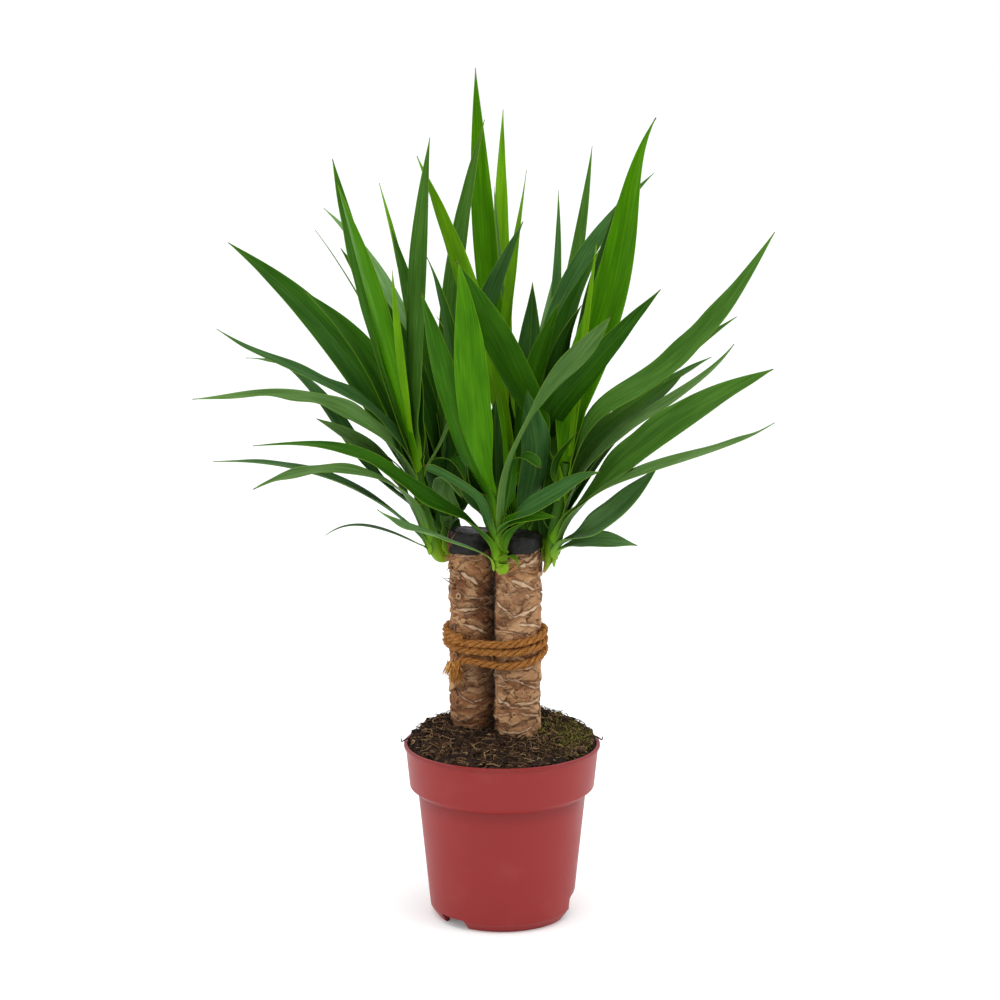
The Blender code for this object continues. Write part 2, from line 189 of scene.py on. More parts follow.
def gridMesh(name, points, wrap=False):  # rows of points, joined in a ring if wrap
    rows, columns = points.shape[:2]
    spans = columns if wrap else columns - 1
    index = np.arange(rows * columns).reshape(rows, columns)
    row, column = np.meshgrid(np.arange(rows - 1), np.arange(spans), indexing="ij")
    after = (column + 1) % columns
    corners = (index[row, column], index[row, after], index[row + 1, after], index[row + 1, column])
    faces = np.stack(corners, axis=-1)
    mesh = bpy.data.meshes.new(name)
    mesh.from_pydata((points.reshape(-1, 3) * mm).tolist(), [], faces.reshape(-1, 4).tolist())
    acrossUv = np.stack([column, column + 1, column + 1, column], axis=-1) / spans
    alongUv = np.stack([row, row, row + 1, row + 1], axis=-1) / (rows - 1)
    places = np.stack([acrossUv, alongUv], axis=-1)
    mesh.uv_layers.new(name="UVMap").data.foreach_set("uv", places.ravel())
    mesh.shade_smooth()
    return mesh


def addValues(mesh, **values):  # numbers at the vertices, for the material to read
    for name, numbers in values.items():
        layer = mesh.attributes.new(name, "FLOAT", "POINT")
        layer.data.foreach_set("value", np.ravel(numbers).astype(np.float32))


def carriedFrame(line):  # two sides at each point of a line, carried along it with no twist
    along = unit(np.gradient(line, axis=0))
    sides = [unit(np.cross(along[0], (0.31, 0.23, 0.92)))]
    for heading in along[1:]:
        sides.append(unit(sides[-1] - heading * np.dot(sides[-1], heading)))
    return np.array(sides), np.cross(along, sides)


def smoothLine(points, count):  # points along one smooth curve through the given ones
    points = np.array(points, float)
    steps = np.linalg.norm(np.diff(points, axis=0), axis=1)
    reach = np.concatenate(([0.0], np.cumsum(steps))) / steps.sum()
    along = np.linspace(0, 1, count)
    if len(points) < 6:
        bend = np.polyfit(reach, points, len(points) - 1)
        return np.stack([np.polyval(bend[:, axis], along) for axis in range(3)], axis=-1)
    gap = np.diff(reach)[:, None]  # through more points it is a spline, straight at its ends
    sums, change = np.eye(len(points)), np.zeros(points.shape)
    for at in range(1, len(points) - 1):
        sums[at, at - 1 : at + 2] = gap[at - 1, 0], 2 * (gap[at - 1, 0] + gap[at, 0]), gap[at, 0]
    change[1:-1] = 6 * np.diff(np.diff(points, axis=0) / gap, axis=0)
    bend = np.linalg.solve(sums, change)
    at = np.clip(np.searchsorted(reach, along) - 1, 0, len(points) - 2)
    since, until, gap = (along - reach[at])[:, None], (reach[at + 1] - along)[:, None], gap[at]
    first, last = points[at] / gap - bend[at] * gap / 6, points[at + 1] / gap - bend[at + 1] * gap / 6
    return first * until + last * since + (bend[at] * until**3 + bend[at + 1] * since**3) / (6 * gap)


def rings(line, radii, sides):  # circles of points round a line
    side, up = carriedFrame(line)
    turn = np.linspace(0, math.tau, sides, endpoint=False)
    circle = side[:, None] * np.cos(turn)[:, None] + up[:, None] * np.sin(turn)[:, None]
    return line[:, None] + circle * np.broadcast_to(radii, len(line))[:, None, None]


def bundleMesh(name, tubes):  # many thin tubes as one mesh; each is an array (rows, sides, 3)
    places, faces, count = [], [], 0
    for tube in tubes:
        rows, sides = tube.shape[:2]
        index = count + np.arange(rows * sides).reshape(rows, sides)
        after = np.roll(index, -1, axis=1)
        walls = np.stack([index[:-1], after[:-1], after[1:], index[1:]], axis=-1)
        faces += walls.reshape(-1, 4).tolist()
        faces += [index[0, ::-1].tolist(), index[-1].tolist()]
        places.append(tube.reshape(-1, 3))
        count += rows * sides
    mesh = bpy.data.meshes.new(name)
    mesh.from_pydata((np.concatenate(places) * mm).tolist(), [], faces)
    mesh.shade_smooth()
    return mesh


def bumpy(points, size, octaves=4, shift=0.0):  # fractal noise about 0, features of size mm
    places = [Vector(p) / size + Vector((shift, 0, 0)) for p in points.reshape(-1, 3)]
    return np.array([noise.fractal(place, 1.0, 2.0, octaves) for place in places]).reshape(points.shape[:-1])


def randomFibre(random, start, heading, length, steps, curl):  # a line that wanders
    line = [np.array(start, float)]
    heading = np.array(heading, float)
    for _ in range(steps):
        heading = unit(heading + random.normal(0, curl, 3) * (1, 1, 0.6))
        line.append(line[-1] + heading * length / steps)
    return np.array(line)


def hair(line, thick, thin, sides=4):  # a fibre's tube, tapering towards its tip
    return rings(line, np.linspace(thick, thin, len(line)), sides)


pot = {
    "rimRadius": 85.0,  # outer edge of the lip
    "lipHeight": 2.4,
    "bandTop": 83.4,  # the band's radius just under the lip
    "bandBottom": 80.0,
    "bandHeight": 115.0,  # where the band ends, above the floor
    "bodyTop": 72.8,
    "bodyHeight": 109.0,
    "bodyBottom": 62.5,
    "kneeHeight": 8.0,  # where the body turns in to its foot
    "footRadius": 56.6,
    "footRing": 3.6,
    "wall": 1.4,
    "underside": 6.0,  # height of the floor over the foot ring
    "notchWidth": 27.0,
    "notchHeight": 8.6,
    "notchAngles": (-134.0, -14.0, 106.0),
    "drains": 6,
    "drainRadius": 4.0,
    "drainRing": 34.0,
    "recess": 3.6,  # how far the wall is pressed in over the right-hand notch
    "recessHeight": 21.0,
    "innerWall": 50.0,  # everything past this radius is the wall
    "steps": 160,
    "rows": (28.0, 22.0, 20.0, 18.0, 16.0, 14.0),  # more of the wall's points, over the recess
    "plastic": "#8d2625",
    "scuff": "#99403d",
    "shadeUnderLipAndBand": "#4a1010",  # painted shade under the lip and the band
}


def rounded(corners, steps=5):  # an outline, each corner turned to an arc of its third number
    corners = np.array(corners, float)
    outline = [corners[0, :2]]
    for before, (*corner, radius), after in zip(corners, corners[1:], corners[2:]):
        if radius == 0:
            outline.append(corner)
            continue
        back, ahead = unit(before[:2] - corner), unit(after[:2] - corner)
        half = math.acos(np.clip(np.dot(back, ahead), -1, 1)) / 2
        reach = radius / math.tan(half)
        middle = corner + unit(back + ahead) * radius / math.sin(half)
        first, last = corner + back * reach - middle, corner + ahead * reach - middle
        swing = math.pi - 2 * half
        for step in range(steps + 1):
            leaving, coming = math.sin((1 - step / steps) * swing), math.sin(step / steps * swing)
            outline.append(middle + (first * leaving + last * coming) / math.sin(swing))
    outline.append(corners[-1, :2])
    return np.array(outline)


def potMaterial():  # polypropylene, injection moulded: dull satin, faintly uneven, milky where rubbed
    material, tree, shader = newMaterial("polypropyleneMoulded", {"IOR": 1.49, "Specular IOR Level": 0.24})
    place = addNode(tree, "TexCoord").outputs["Object"]
    cloud = addNode(tree, "TexNoise", {"Vector": place, "Scale": 28.0, "Detail": 4.0})
    colour = layered(tree, fromHex(pot["plastic"]), [(cloud, 0.5, 0.85, 0.5, pot["scuff"])])
    height = addNode(tree, "SeparateXYZ", {"Vector": place}).outputs["Z"]
    rim, step = potHigh.z, pot["bodyHeight"] * mm
    # painted shade: darker on the lip and just under it, and on the body under the band
    for low, high, most in ((rim - 0.0042, rim - 0.0032, 0.22), (step - 0.012, step, 0.3)):
        dim = {"Value": height, "From Min": low, "From Max": high, "To Max": most}
        dim = addNode(tree, "MapRange", dim)
        if high == step:  # painted shade under the band, none on the band itself
            under = addNode(tree, "Math", {0: height, 1: step + 0.002}, operation="LESS_THAN")
            dim = addNode(tree, "Math", {0: dim, 1: under}, operation="MULTIPLY")
        colour = addNode(tree, "Mix", {0: dim, 6: colour, 7: fromHex(pot["shadeUnderLipAndBand"])}, data_type="RGBA")
    gloss = {"Value": cloud, "From Min": 0.3, "From Max": 0.7, "To Min": 0.38, "To Max": 0.47}
    gloss = addNode(tree, "MapRange", gloss, interpolation_type="SMOOTHSTEP")
    grain = addNode(tree, "TexNoise", {"Vector": place, "Scale": 900.0, "Detail": 2.0})  # 1 mm mould grain
    bump = addNode(tree, "Bump", {"Height": grain, "Strength": 0.06, "Distance": 0.0003})
    setInputs(shader, {"Base Color": colour, "Roughness": gloss, "Normal": bump})
    return material


def potOutline():  # from the middle of the floor up the inside, over the lip and down to the foot
    wall, rim, floor, foot = pot["wall"], potHigh.z / mm, pot["underside"], pot["footRadius"]
    low, high, knee, body = pot["bodyBottom"], pot["bodyTop"], pot["kneeHeight"], pot["bodyHeight"]
    outside = [(low + (high - low) * (z - knee) / (body - knee), z, 0) for z in pot["rows"]]
    return rounded(
        (
            (0.0, floor + wall, 0),
            (low - wall - 1.6, floor + wall, 2.0),
            (low - wall + 0.5, 17.0, 0),
            (low - wall + 1.2, 25.0, 0),
            (high - wall, body, 2.0),
            (pot["bandBottom"] - wall, pot["bandHeight"], 2.0),
            (pot["bandTop"] - wall, rim, 0.5),
            (pot["rimRadius"], rim, 0.7),
            (pot["rimRadius"], rim - pot["lipHeight"], 0.5),
            (pot["bandTop"], rim - pot["lipHeight"] - 1.0, 0.4),
            (pot["bandBottom"], pot["bandHeight"], 1.3),
            (high, body, 0.8),
            *outside,
            (low, knee, 3.6),
            (foot, 0.0, 0.6),
            (foot - pot["footRing"], 0.0, 0.6),
            (foot - pot["footRing"] - 1.0, floor, 0.6),
            (0.0, floor, 0),
        )
    )


def potCutters():  # the notches in the foot ring and the drains: each tool, its place and its turn
    for angle in pot["notchAngles"]:
        turn = math.radians(angle)
        tool = bmesh.new()
        bmesh.ops.create_cube(tool, size=1)
        size = np.array((24.0, pot["notchWidth"], 2 * pot["notchHeight"]))
        bmesh.ops.scale(tool, vec=size * mm, verts=tool.verts)
        high = [edge for edge in tool.edges if min(end.co.z for end in edge.verts) > 0]
        ridges = [edge for edge in high if abs(edge.verts[0].co.y - edge.verts[1].co.y) < 1e-9]
        bmesh.ops.bevel(tool, geom=ridges, offset=1.5 * mm, segments=3, affect="EDGES", profile=0.5)
        yield tool, around(pot["footRadius"], turn, 0), turn
    for number in range(pot["drains"]):
        turn = math.tau * number / pot["drains"]
        tool, radius = bmesh.new(), pot["drainRadius"] * mm
        bmesh.ops.create_cone(tool, cap_ends=True, segments=32, radius1=radius, radius2=radius, depth=8 * mm)
        yield tool, around(pot["drainRing"], turn, pot["underside"]), 0.0


def makePot():
    mesh = bpy.data.meshes.new("pot")
    places = [(radius * mm, 0, height * mm) for radius, height in potOutline()]
    mesh.from_pydata(places, [(at, at + 1) for at in range(len(places) - 1)], [])
    shape = addObject("potShape", mesh)
    screw = shape.modifiers.new("Turn", "SCREW")
    screw.steps = screw.render_steps = pot["steps"]
    screw.use_merge_vertices = True
    screw.merge_threshold = 1e-5
    helpers = [shape]
    for tool, place, turn in list(potCutters()):
        toolMesh = bpy.data.meshes.new("cutter")
        tool.to_mesh(toolMesh)
        tool.free()
        cutter = addObject("cutter", toolMesh)
        cutter.location = place * mm
        cutter.rotation_euler.z = turn
        boolean = shape.modifiers.new("Cut", "BOOLEAN")
        boolean.operation = "DIFFERENCE"
        boolean.object = cutter
        helpers.append(cutter)
    bpy.context.view_layer.update()
    graph = bpy.context.evaluated_depsgraph_get()
    final = bpy.data.meshes.new_from_object(shape.evaluated_get(graph))
    for helper in helpers:
        bpy.data.objects.remove(helper, do_unlink=True)
    for vertex in final.vertices:  # the recess over the right-hand notch
        place = vertex.co / mm
        radius = math.hypot(place.x, place.y)
        away = abs(math.degrees(math.atan2(place.y, place.x)) + 2.0)
        press = ramp(place.z, pot["recessHeight"], pot["recessHeight"] - 5) * ramp(away, 20, 15)
        if radius > pot["innerWall"]:
            vertex.co.xy *= 1 - pot["recess"] * eased(press) / radius
    final.shade_smooth()
    final.set_sharp_from_angle(angle=math.radians(40))
    addPiece("nurseryPot", final, potMaterial(), "pot_plastic", "pot")


makePot()
print("pot made")


soil = {
    "frontEdge": 149.0,  # height at the front of the pot
    "rearEdge": 159.0,  # heaped up at its back
    "middle": 159.0,
    "slope": 0.12,  # rise of the middle towards the back
    "radius": 81.4,
    "lumps": ((16.0, 3, 0.0, 3.8), (7.0, 4, 7.0, 5.0), (2.4, 2, 3.0, 1.3)),  # size, octaves, shift, height
    "crumbs": 1500,
    "crumbSize": (0.8, 3.6),  # half their length; few are large
    "fibres": 2300,
    "fibreLength": (7, 26),
    "fibreThick": (0.2, 0.62),
    "fibreReach": (79, 80.5),  # how far out one starts, and how far out it may come
    "moss": 1500,
    "mossMiddle": (58, 0),
    "mossSpread": (14, 28),
    "mossLength": (2, 6),
    "mossThick": (0.3, 0.75),
    "mossReach": (79.5, 80.8),
    "seed": 11,
    "peat": ("#120a06", "#33221a", "#5c4433"),
    "crumbTones": ((0.0, "#1c110b"), (0.5, "#38251a"), (0.85, "#4a3323"), (0.98, "#6e553d")),
    "fibreTones": ((0.0, "#1c110a"), (0.4, "#352315"), (0.75, "#5c4028"), (0.97, "#a58660")),
    "mossTones": ((0.0, "#3a3512"), (0.5, "#625b22"), (0.9, "#8f8740")),
}


def soilHeight(x, y):
    reach = np.hypot(x, y)
    back = ramp(y / np.maximum(reach, 1), -0.35, 0.85)
    edge = soil["frontEdge"] + (soil["rearEdge"] - soil["frontEdge"]) * back
    middle = soil["middle"] + soil["slope"] * y
    return edge + (middle - edge) * (1 - np.clip(reach / soil["radius"], 0, 1) ** 4)


def soilMaterial():  # peat and coir compost, loose and dry: no gloss at all
    material, tree, shader = newMaterial("peatCompost", {"Roughness": 0.95, "Specular IOR Level": 0.2})
    place = addNode(tree, "TexCoord").outputs["Object"]
    crumbs = addNode(tree, "TexNoise", {"Vector": place, "Scale": 420.0, "Detail": 6.0, "Roughness": 0.65})
    patches = addNode(tree, "TexNoise", {"Vector": place, "Scale": 45.0, "Detail": 3.0})
    colour = addNode(tree, "ValToRGB", {"Fac": crumbs}, stops=list(zip((0.3, 0.55, 0.78), soil["peat"])))
    colour = layered(tree, colour, [(patches, 0.35, 0.65, 0.6, soil["peat"][0])], blend="MULTIPLY")
    bump = addNode(tree, "Bump", {"Height": crumbs, "Strength": 0.8, "Distance": 0.0012})
    setInputs(shader, {"Base Color": colour, "Normal": bump})
    return material


def islandMaterial(name, stops):  # fibres: each takes its own colour from the ramp
    material, tree, shader = newMaterial(name, {"Roughness": 0.9, "Specular IOR Level": 0.25})
    island = addNode(tree, "NewGeometry").outputs["Random Per Island"]
    setInputs(shader, {"Base Color": addNode(tree, "ValToRGB", {"Fac": island}, stops=stops)})
    return material


canePlaces = {"front": (14.0, 8.0), "rear": (-26.0, 30.0)}


def clearOfCanes(points, room=20.5):
    away = [np.hypot(*(np.atleast_2d(points)[:, :2] - place).T).min() for place in canePlaces.values()]
    return min(away) > room


def randomSpot(random, radius, most=1.0):  # a place on the soil, evenly spread
    radius, angle = radius * math.sqrt(random.random()) * most, random.random() * math.tau
    return np.array((radius * math.cos(angle), radius * math.sin(angle)))


def soilCrumbs(random):
    least, most = soil["crumbSize"]
    for _ in range(soil["crumbs"]):
        spot = randomSpot(random, soil["radius"], 0.985)
        size = least + (most - least) * random.random() ** 3
        if not clearOfCanes(spot, 21.0 + size) or math.hypot(*spot) + size > soil["radius"]:
            continue
        middle = np.array((*spot, soilHeight(*spot) + 0.6 + random.normal(0, 0.8)))
        spin = unit(random.normal(0, 1, 3))
        line = middle + spin * np.linspace(-size, size, 5)[:, None] * random.uniform(0.7, 1.3)
        lump = rings(line, size * np.array((0.35, 0.85, 1.0, 0.8, 0.3)), 6)
        yield lump + random.normal(0, size * 0.13, lump.shape)


def soilFibres(random):
    first, last = soil["fibreReach"]
    for _ in range(soil["fibres"]):
        spot = randomSpot(random, first)
        if not clearOfCanes(spot, 21.5):
            continue
        start = (*spot, soilHeight(*spot) + random.uniform(0.8, 3.2))
        swing = random.random() * math.tau
        heading = (math.cos(swing), math.sin(swing), random.uniform(0.0, 0.25))
        line = randomFibre(random, start, heading, random.uniform(*soil["fibreLength"]), 9, 0.34)
        ground = soilHeight(line[:, 0], line[:, 1])
        line[:, 2] = np.clip(line[:, 2], ground + 0.6, ground + random.uniform(3.0, 6.0))
        if np.hypot(line[:, 0], line[:, 1]).max() <= last and clearOfCanes(line, 20.6):
            thick = random.uniform(*soil["fibreThick"])
            yield hair(line, thick, thick * 0.4, 5)
    rim = potHigh.z / mm
    for way in (-1, 1):  # two fibres hang out over the rim, one at each side
        bend = ((74, 12, -3), (79, 8, 1.5), (83.5, 6, 1.6), (86.4, 3, 0.4), (87.4, 1, 3.6))
        yield hair(smoothLine([(way * x, way * 3 + y, rim + z) for x, y, z in bend], 14), 1.1, 0.5, 6)


def soilMoss(random):
    first, last = soil["mossReach"]
    for _ in range(soil["moss"]):
        spot = random.normal(soil["mossMiddle"], soil["mossSpread"])
        if np.hypot(*spot) > first:
            continue
        start = (*spot, soilHeight(*spot) + random.uniform(0.4, 3.4))
        heading = unit(random.normal((0, 0, 0.5), (0.8, 0.8, 0.3)))
        line = randomFibre(random, start, heading, random.uniform(*soil["mossLength"]), 4, 0.5)
        if np.hypot(line[:, 0], line[:, 1]).max() < last:
            thick = random.uniform(*soil["mossThick"])
            yield hair(line, thick, thick * 0.3)


def makeSoil():
    random = np.random.default_rng(soil["seed"])
    reach = np.linspace(0.5, soil["radius"], 120)[:, None]
    turn = np.linspace(0, math.tau, 230, endpoint=False)
    x, y = reach * np.cos(turn), reach * np.sin(turn)
    points = np.stack([x, y, soilHeight(x, y)], axis=-1)
    points[..., 2] += sum(bumpy(points, size, *more) * high for size, *more, high in soil["lumps"])
    points[0] = points[0].mean(axis=0)
    addPiece("soilBed", gridMesh("soil", points, wrap=True), soilMaterial(), "potting_soil", "soil")
    for name, made, finish, tones in (
        ("crumbs", soilCrumbs, "peatCrumbs", soil["crumbTones"]),
        ("fibres", soilFibres, "coirInSoil", soil["fibreTones"]),
        ("moss", soilMoss, "moss", soil["mossTones"]),
    ):
        mesh = bundleMesh(name, list(made(random)))
        addPiece(f"soil{name.capitalize()}", mesh, islandMaterial(finish, tones), "potting_soil")


makeSoil()
print("soil made")


# A scar is the cut edge of an old leaf base: its left end, middle and right end, each an angle
# from the front in degrees and a height, then how thick it is and how pale.
canes = {
    "front": {
        "facing": 180.0,  # the side that leans on the other cane, where shade is painted
        "seamWidth": 15.0,
        "seed": 3,
        "shade": 0.0,
        "scars": (
            ((-1, 309), (24, 312), (62, 318), 3.4, 0.9),
            ((-35, 301), (4, 306), (57, 306), 1.0, 0.2),
            ((-18, 297), (11, 294), (42, 288), 4.2, 1.0),
            ((-73, 276), (-35, 272), (-11, 266), 2.8, 0.9),
            ((-11, 266), (19, 269), (57, 272), 3.8, 1.0),
            ((2, 259), (30, 257), (69, 254), 3.0, 1.0),
            ((-66, 249), (-24, 252), (11, 249), 1.8, 0.7),
            ((-26, 286), (4, 288), (49, 286), 0.8, 0.1),
            ((-66, 214), (-44, 210), (-26, 204), 1.8, 0.8),
            ((-74, 204), (-44, 203), (-26, 204), 1.4, 0.7),
            ((-11, 209), (4, 208), (22, 205), 2.2, 0.8),
            ((30, 208), (46, 206), (70, 207), 1.8, 0.6),
            ((-74, 194), (-38, 190), (-16, 186), 3.2, 0.9),
            ((-11, 189), (25, 189), (71, 192), 2.8, 0.8),
            ((-1, 181), (30, 178), (71, 176), 2.2, 0.8),
            ((-66, 177), (-35, 178), (-16, 181), 1.6, 0.6),
            ((-60, 166), (-5, 163), (48, 169), 2.0, 0.6),
        ),
        "eyes": ((55, 291, 2.0), (-17, 291, 1.4), (-11, 179, 1.6), (80, 256, 1.8)),  # dormant buds
    },
    "rear": {
        "facing": 0.0,
        "seamWidth": 40.0,
        "seed": 8,
        "shade": 0.1,
        "scars": (
            ((-43, 313), (-12, 314), (16, 314), 2.0, 0.8),
            ((-37, 299), (-9, 296), (18, 289), 4.4, 0.9),
            ((-72, 303), (-43, 299), (-25, 301), 1.4, 0.4),
            ((-47, 267), (-12, 267), (23, 269), 2.6, 0.8),
            ((-37, 263), (-10, 264), (10, 266), 1.2, 0.5),
            ((-25, 254), (8, 250), (41, 245), 3.2, 1.0),
            ((-66, 262), (-56, 250), (-44, 243), 2.4, 0.7),
            ((-41, 193), (-13, 187), (7, 183), 2.0, 0.7),
            ((5, 185), (20, 186), (37, 187), 2.4, 0.7),
            ((-54, 169), (-30, 167), (-12, 169), 2.0, 0.7),
            ((-80, 214), (-60, 206), (-42, 202), 2.0, 0.6),
        ),
        "eyes": ((-37, 278, 2.2), (-60, 290, 1.8)),
    },
    "shreds": (  # root, bend and tip, and the root's half width
        (((-40, 16, 287), (-45, 17, 289), (-53.5, 20, 295)), 0.9),
        (((-42, 18, 291), (-47, 20, 294), (-52, 22, 292)), 0.7),
        (((-43, 18, 303), (-46, 20, 302), (-48.5, 22, 299)), 1.0),
        (((-41, 16, 284), (-45, 17, 284), (-47.5, 18, 287)), 0.8),
        (((-38, 14, 301), (-36, 10.5, 298), (-31, 9, 293)), 0.9),
        (((-22, 10, 293), (-17, 9, 291), (-13, 9.5, 285)), 0.9),
        (((24, -10, 296), (29, -9, 294), (32, -6, 292)), 0.6),
        (((-7, 22, 178), (-9, 14, 176), (-12, 8, 178)), 0.8),
        (((33, 0, 303), (34.6, -1, 312), (33.6, -1, 322)), 1.5),
        (((28, -8, 305), (32, -7, 311), (34.4, -5, 318)), 1.1),
        (((-45, 25, 316), (-47.5, 25, 325), (-46, 24, 334)), 2.2),
        (((-44, 22, 321), (-43, 18, 330), (-39, 15, 334)), 1.6),
    ),
    "bottom": 147.0,
    "top": 330.0,
    "shoulder": 16.0,  # the last of the cane, under the wax, where it is a little thinner
    "radius": 19.7,
    "radiusSpan": (18.2, 21.2),  # no dent goes deeper, and no ridge stands further out
    "girthRadius": 20.0,
    "heights": {  # how far each marking stands off the bark
        "relief": 0.6,
        "groove": -0.6,
        "wrinkle": 0.45,
        "wander": 0.5,
        "swell": 0.7,
        "step": 1.1,
        "edge": -0.5,
        "facet": 0.75,
        "crease": -0.35,
    },
    "columns": 210,
    "rows": 290,
    "moreScars": 26,
    "wrinkles": 220,
    "facets": 300,
    "hairs": 60,
    "plateRise": 7.4,  # from one leaf base to the next, each so many degrees on:
    "plateTurn": 137.5,
    "bark": ((0.0, "#77492d"), (0.25, "#966240"), (0.5, "#ad7850"), (0.75, "#8c664b"), (1.0, "#bd8b60")),
}
barkValues = ("ridge", "groove", "wrinkle", "seam", "plate", "lip", "facet", "crease", "tone")


def caneMaterial(name, shade):  # yucca bark: torn leaf bases, dry and chalky, with fibrous pale edges
    material, tree, shader = newMaterial(name, {"Roughness": 0.85, "Specular IOR Level": 0.2})
    place = addNode(tree, "TexCoord").outputs["Object"]
    ridge, groove, wrinkle, seam, plate, lip, facet, crease, tone = (
        addNode(tree, "Attribute", attribute_name=value).outputs["Fac"] for value in barkValues
    )
    level = addNode(tree, "Mapping", {"Vector": place, "Scale": (1.0, 1.0, 1.7)})
    fibre = addNode(tree, "TexNoise", {"Vector": level, "Scale": 250.0, "Detail": 6.0, "Roughness": 0.72})
    cloud = addNode(tree, "TexNoise", {"Vector": level, "Scale": 75.0, "Detail": 6.0, "Roughness": 0.66})
    colour = addNode(tree, "ValToRGB", {"Fac": plate}, stops=canes["bark"])
    layers = (
        (cloud, 0.46, 0.3, 0.85, "#5f3a22"),
        (cloud, 0.53, 0.72, 0.8, "#c99a70"),
        (lip, 0.0, 1.0, 0.45, "#c99e74"),
        (tone, 0.3, 0.0, 0.6, "#7b5236"),
        (tone, 0.7, 1.0, 0.6, "#c0956c"),
        # painted light on raised facets and painted shade on sunk ones
        (facet, 0.1, 0.9, 0.6, "#cfa57c"),
        (facet, -0.1, -0.9, 0.7, "#60402a"),
        # painted shade in the creases between facets
        (crease, 0.15, 1.0, 0.85, "#472b17"),
        (fibre, 0.5, 0.72, 0.55, "#c39a70"),
        (fibre, 0.44, 0.3, 0.5, "#553620"),
        (wrinkle, 0.0, 1.0, 0.8, "#cfa881"),
        (wrinkle, 0.0, -1.0, 0.9, "#3c2412"),
    )
    colour = layered(tree, colour, layers)
    if shade:
        inputs = {0: shade, 6: colour, 7: fromHex("#7a5a42")}
        colour = addNode(tree, "Mix", inputs, data_type="RGBA", blend_type="MULTIPLY")
    cream = layered(tree, fromHex("#d3b08e"), [(fibre, 0.5, 0.7, 0.55, "#ecd6bc")])
    # over it: the cream scar lips, the grooves' painted shadow, and painted shade where the canes meet
    for share, over in ((ridge, cream), (groove, fromHex("#3a2214")), (seam, fromHex("#1e120b"))):
        colour = addNode(tree, "Mix", {0: share, 6: colour, 7: over}, data_type="RGBA")
    lumps = addNode(tree, "Bump", {"Height": cloud, "Strength": 0.7, "Distance": 0.004})
    bump = addNode(tree, "Bump", {"Height": fibre, "Normal": lumps, "Strength": 1.0, "Distance": 0.0014})
    setInputs(shader, {"Base Color": colour, "Normal": bump})
    return material


def barkScars(random, cane, z, fromFront, wander):
    bottom, top = canes["bottom"], canes["top"]
    relief, ridge, groove = (np.zeros(z.shape) for _ in range(3))
    scars = [(left, middle, right, 1.2 * thick, pale) for left, middle, right, thick, pale in cane["scars"]]
    for _ in range(canes["moreScars"]):
        centre, level = random.uniform(-180, 180), random.uniform(bottom, top)
        half, rise, tilt = random.uniform(14, 44), random.uniform(-1, 5), random.normal(0, 2.5)
        ends = ((centre - half, level + rise - tilt), (centre, level), (centre + half, level + rise + tilt))
        scars.append((*ends, 0.7 + 2.6 * random.random() ** 2, random.uniform(0.2, 0.8)))
    for left, middle, right, thick, pale in scars:
        away = wrapped(fromFront - (left[0] + right[0]) / 2) / ((right[0] - left[0]) / 2)
        rise, sag = (right[1] - left[1]) / 2, (right[1] + left[1]) / 2 - middle[1]
        distance = z + wander * 1.1 - (middle[1] + rise * away + sag * away**2)
        body = np.sqrt(np.clip(1 - away**2, 0, 1)) * (0.75 + 0.25 * np.sin(7 * away + thick * 9))
        inside = np.clip((body * thick / 2 - np.abs(distance)) / 0.45 + 0.5, 0, 1) * (np.abs(away) < 1)
        # painted shadow lines just above and below each scar's lip
        above = bell(distance - body * thick / 2 - 0.35, 0.5) * (np.abs(away) < 0.96)
        below = bell(distance + body * thick / 2 + 0.5, 0.7) * (np.abs(away) < 0.96)
        ridge = np.maximum(ridge * (1 - above), inside * pale)
        relief = np.maximum(relief, inside * (0.6 + thick * 0.24))
        groove = np.maximum(groove * (1 - inside), np.maximum(above * 0.9, below * 0.55) * (0.4 + 0.5 * pale))
        tilted = ramp(distance, -6, 0) * (distance < 0) * (np.abs(away) < 0.9)
        relief = relief - 0.35 * tilted * body
    return relief, ridge, groove


def barkWrinkles(random, z, fromFront, wander):
    wrinkle = np.zeros(z.shape)
    for _ in range(canes["wrinkles"]):
        centre, level = random.uniform(-180, 180), random.uniform(canes["bottom"], canes["top"])
        half, slope = random.uniform(3, 20), random.normal(0, 0.12)
        away = wrapped(fromFront - centre)
        distance = z + wander * 1.5 - level - slope * away - random.uniform(-0.004, 0.012) * away**2
        fade = np.clip(1 - (away / half) ** 2, 0, 1)
        line = bell(distance, random.uniform(0.35, 0.8)) * fade
        sign = 1 if random.random() < 0.5 else -1
        shadow = bell(distance + 0.9, 0.5) * fade
        wrinkle = wrinkle + sign * (line - 0.8 * shadow) * random.uniform(0.5, 1.1)
    return np.clip(wrinkle, -1, 1)


def barkFacets(random, z, angle, wander):  # dry bark crumples into facets, each tilted its own way
    first, second = np.full(z.shape, 1e9), np.full(z.shape, 1e9)
    tone, facet = np.zeros(z.shape), np.zeros(z.shape)
    girth = math.tau * canes["girthRadius"]
    for _ in range(canes["facets"]):
        centre, level = random.uniform(0, girth), random.uniform(canes["bottom"], canes["top"])
        shade, tiltAcross, tiltUp = random.random(), random.normal(0, 0.1), random.normal(0, 0.2)
        sideways = (angle * canes["girthRadius"] + wander * 5 - centre + girth / 2) % girth - girth / 2
        upwards = z + wander * 3 + 0.12 * sideways - level
        reach = np.hypot(sideways, 1.9 * upwards)
        closer = reach < first
        second = np.where(closer, first, np.minimum(second, reach))
        first, tone = np.where(closer, reach, first), np.where(closer, shade, tone)
        facet = np.where(closer, tiltAcross * sideways + tiltUp * upwards, facet)
    # where two facets meet, a crease that the material paints with shade
    crease = bell(second - first, 1.1) * np.clip(wander * 3 + 0.6, 0, 1)
    return tone, np.clip(facet, -1.2, 1.2), crease


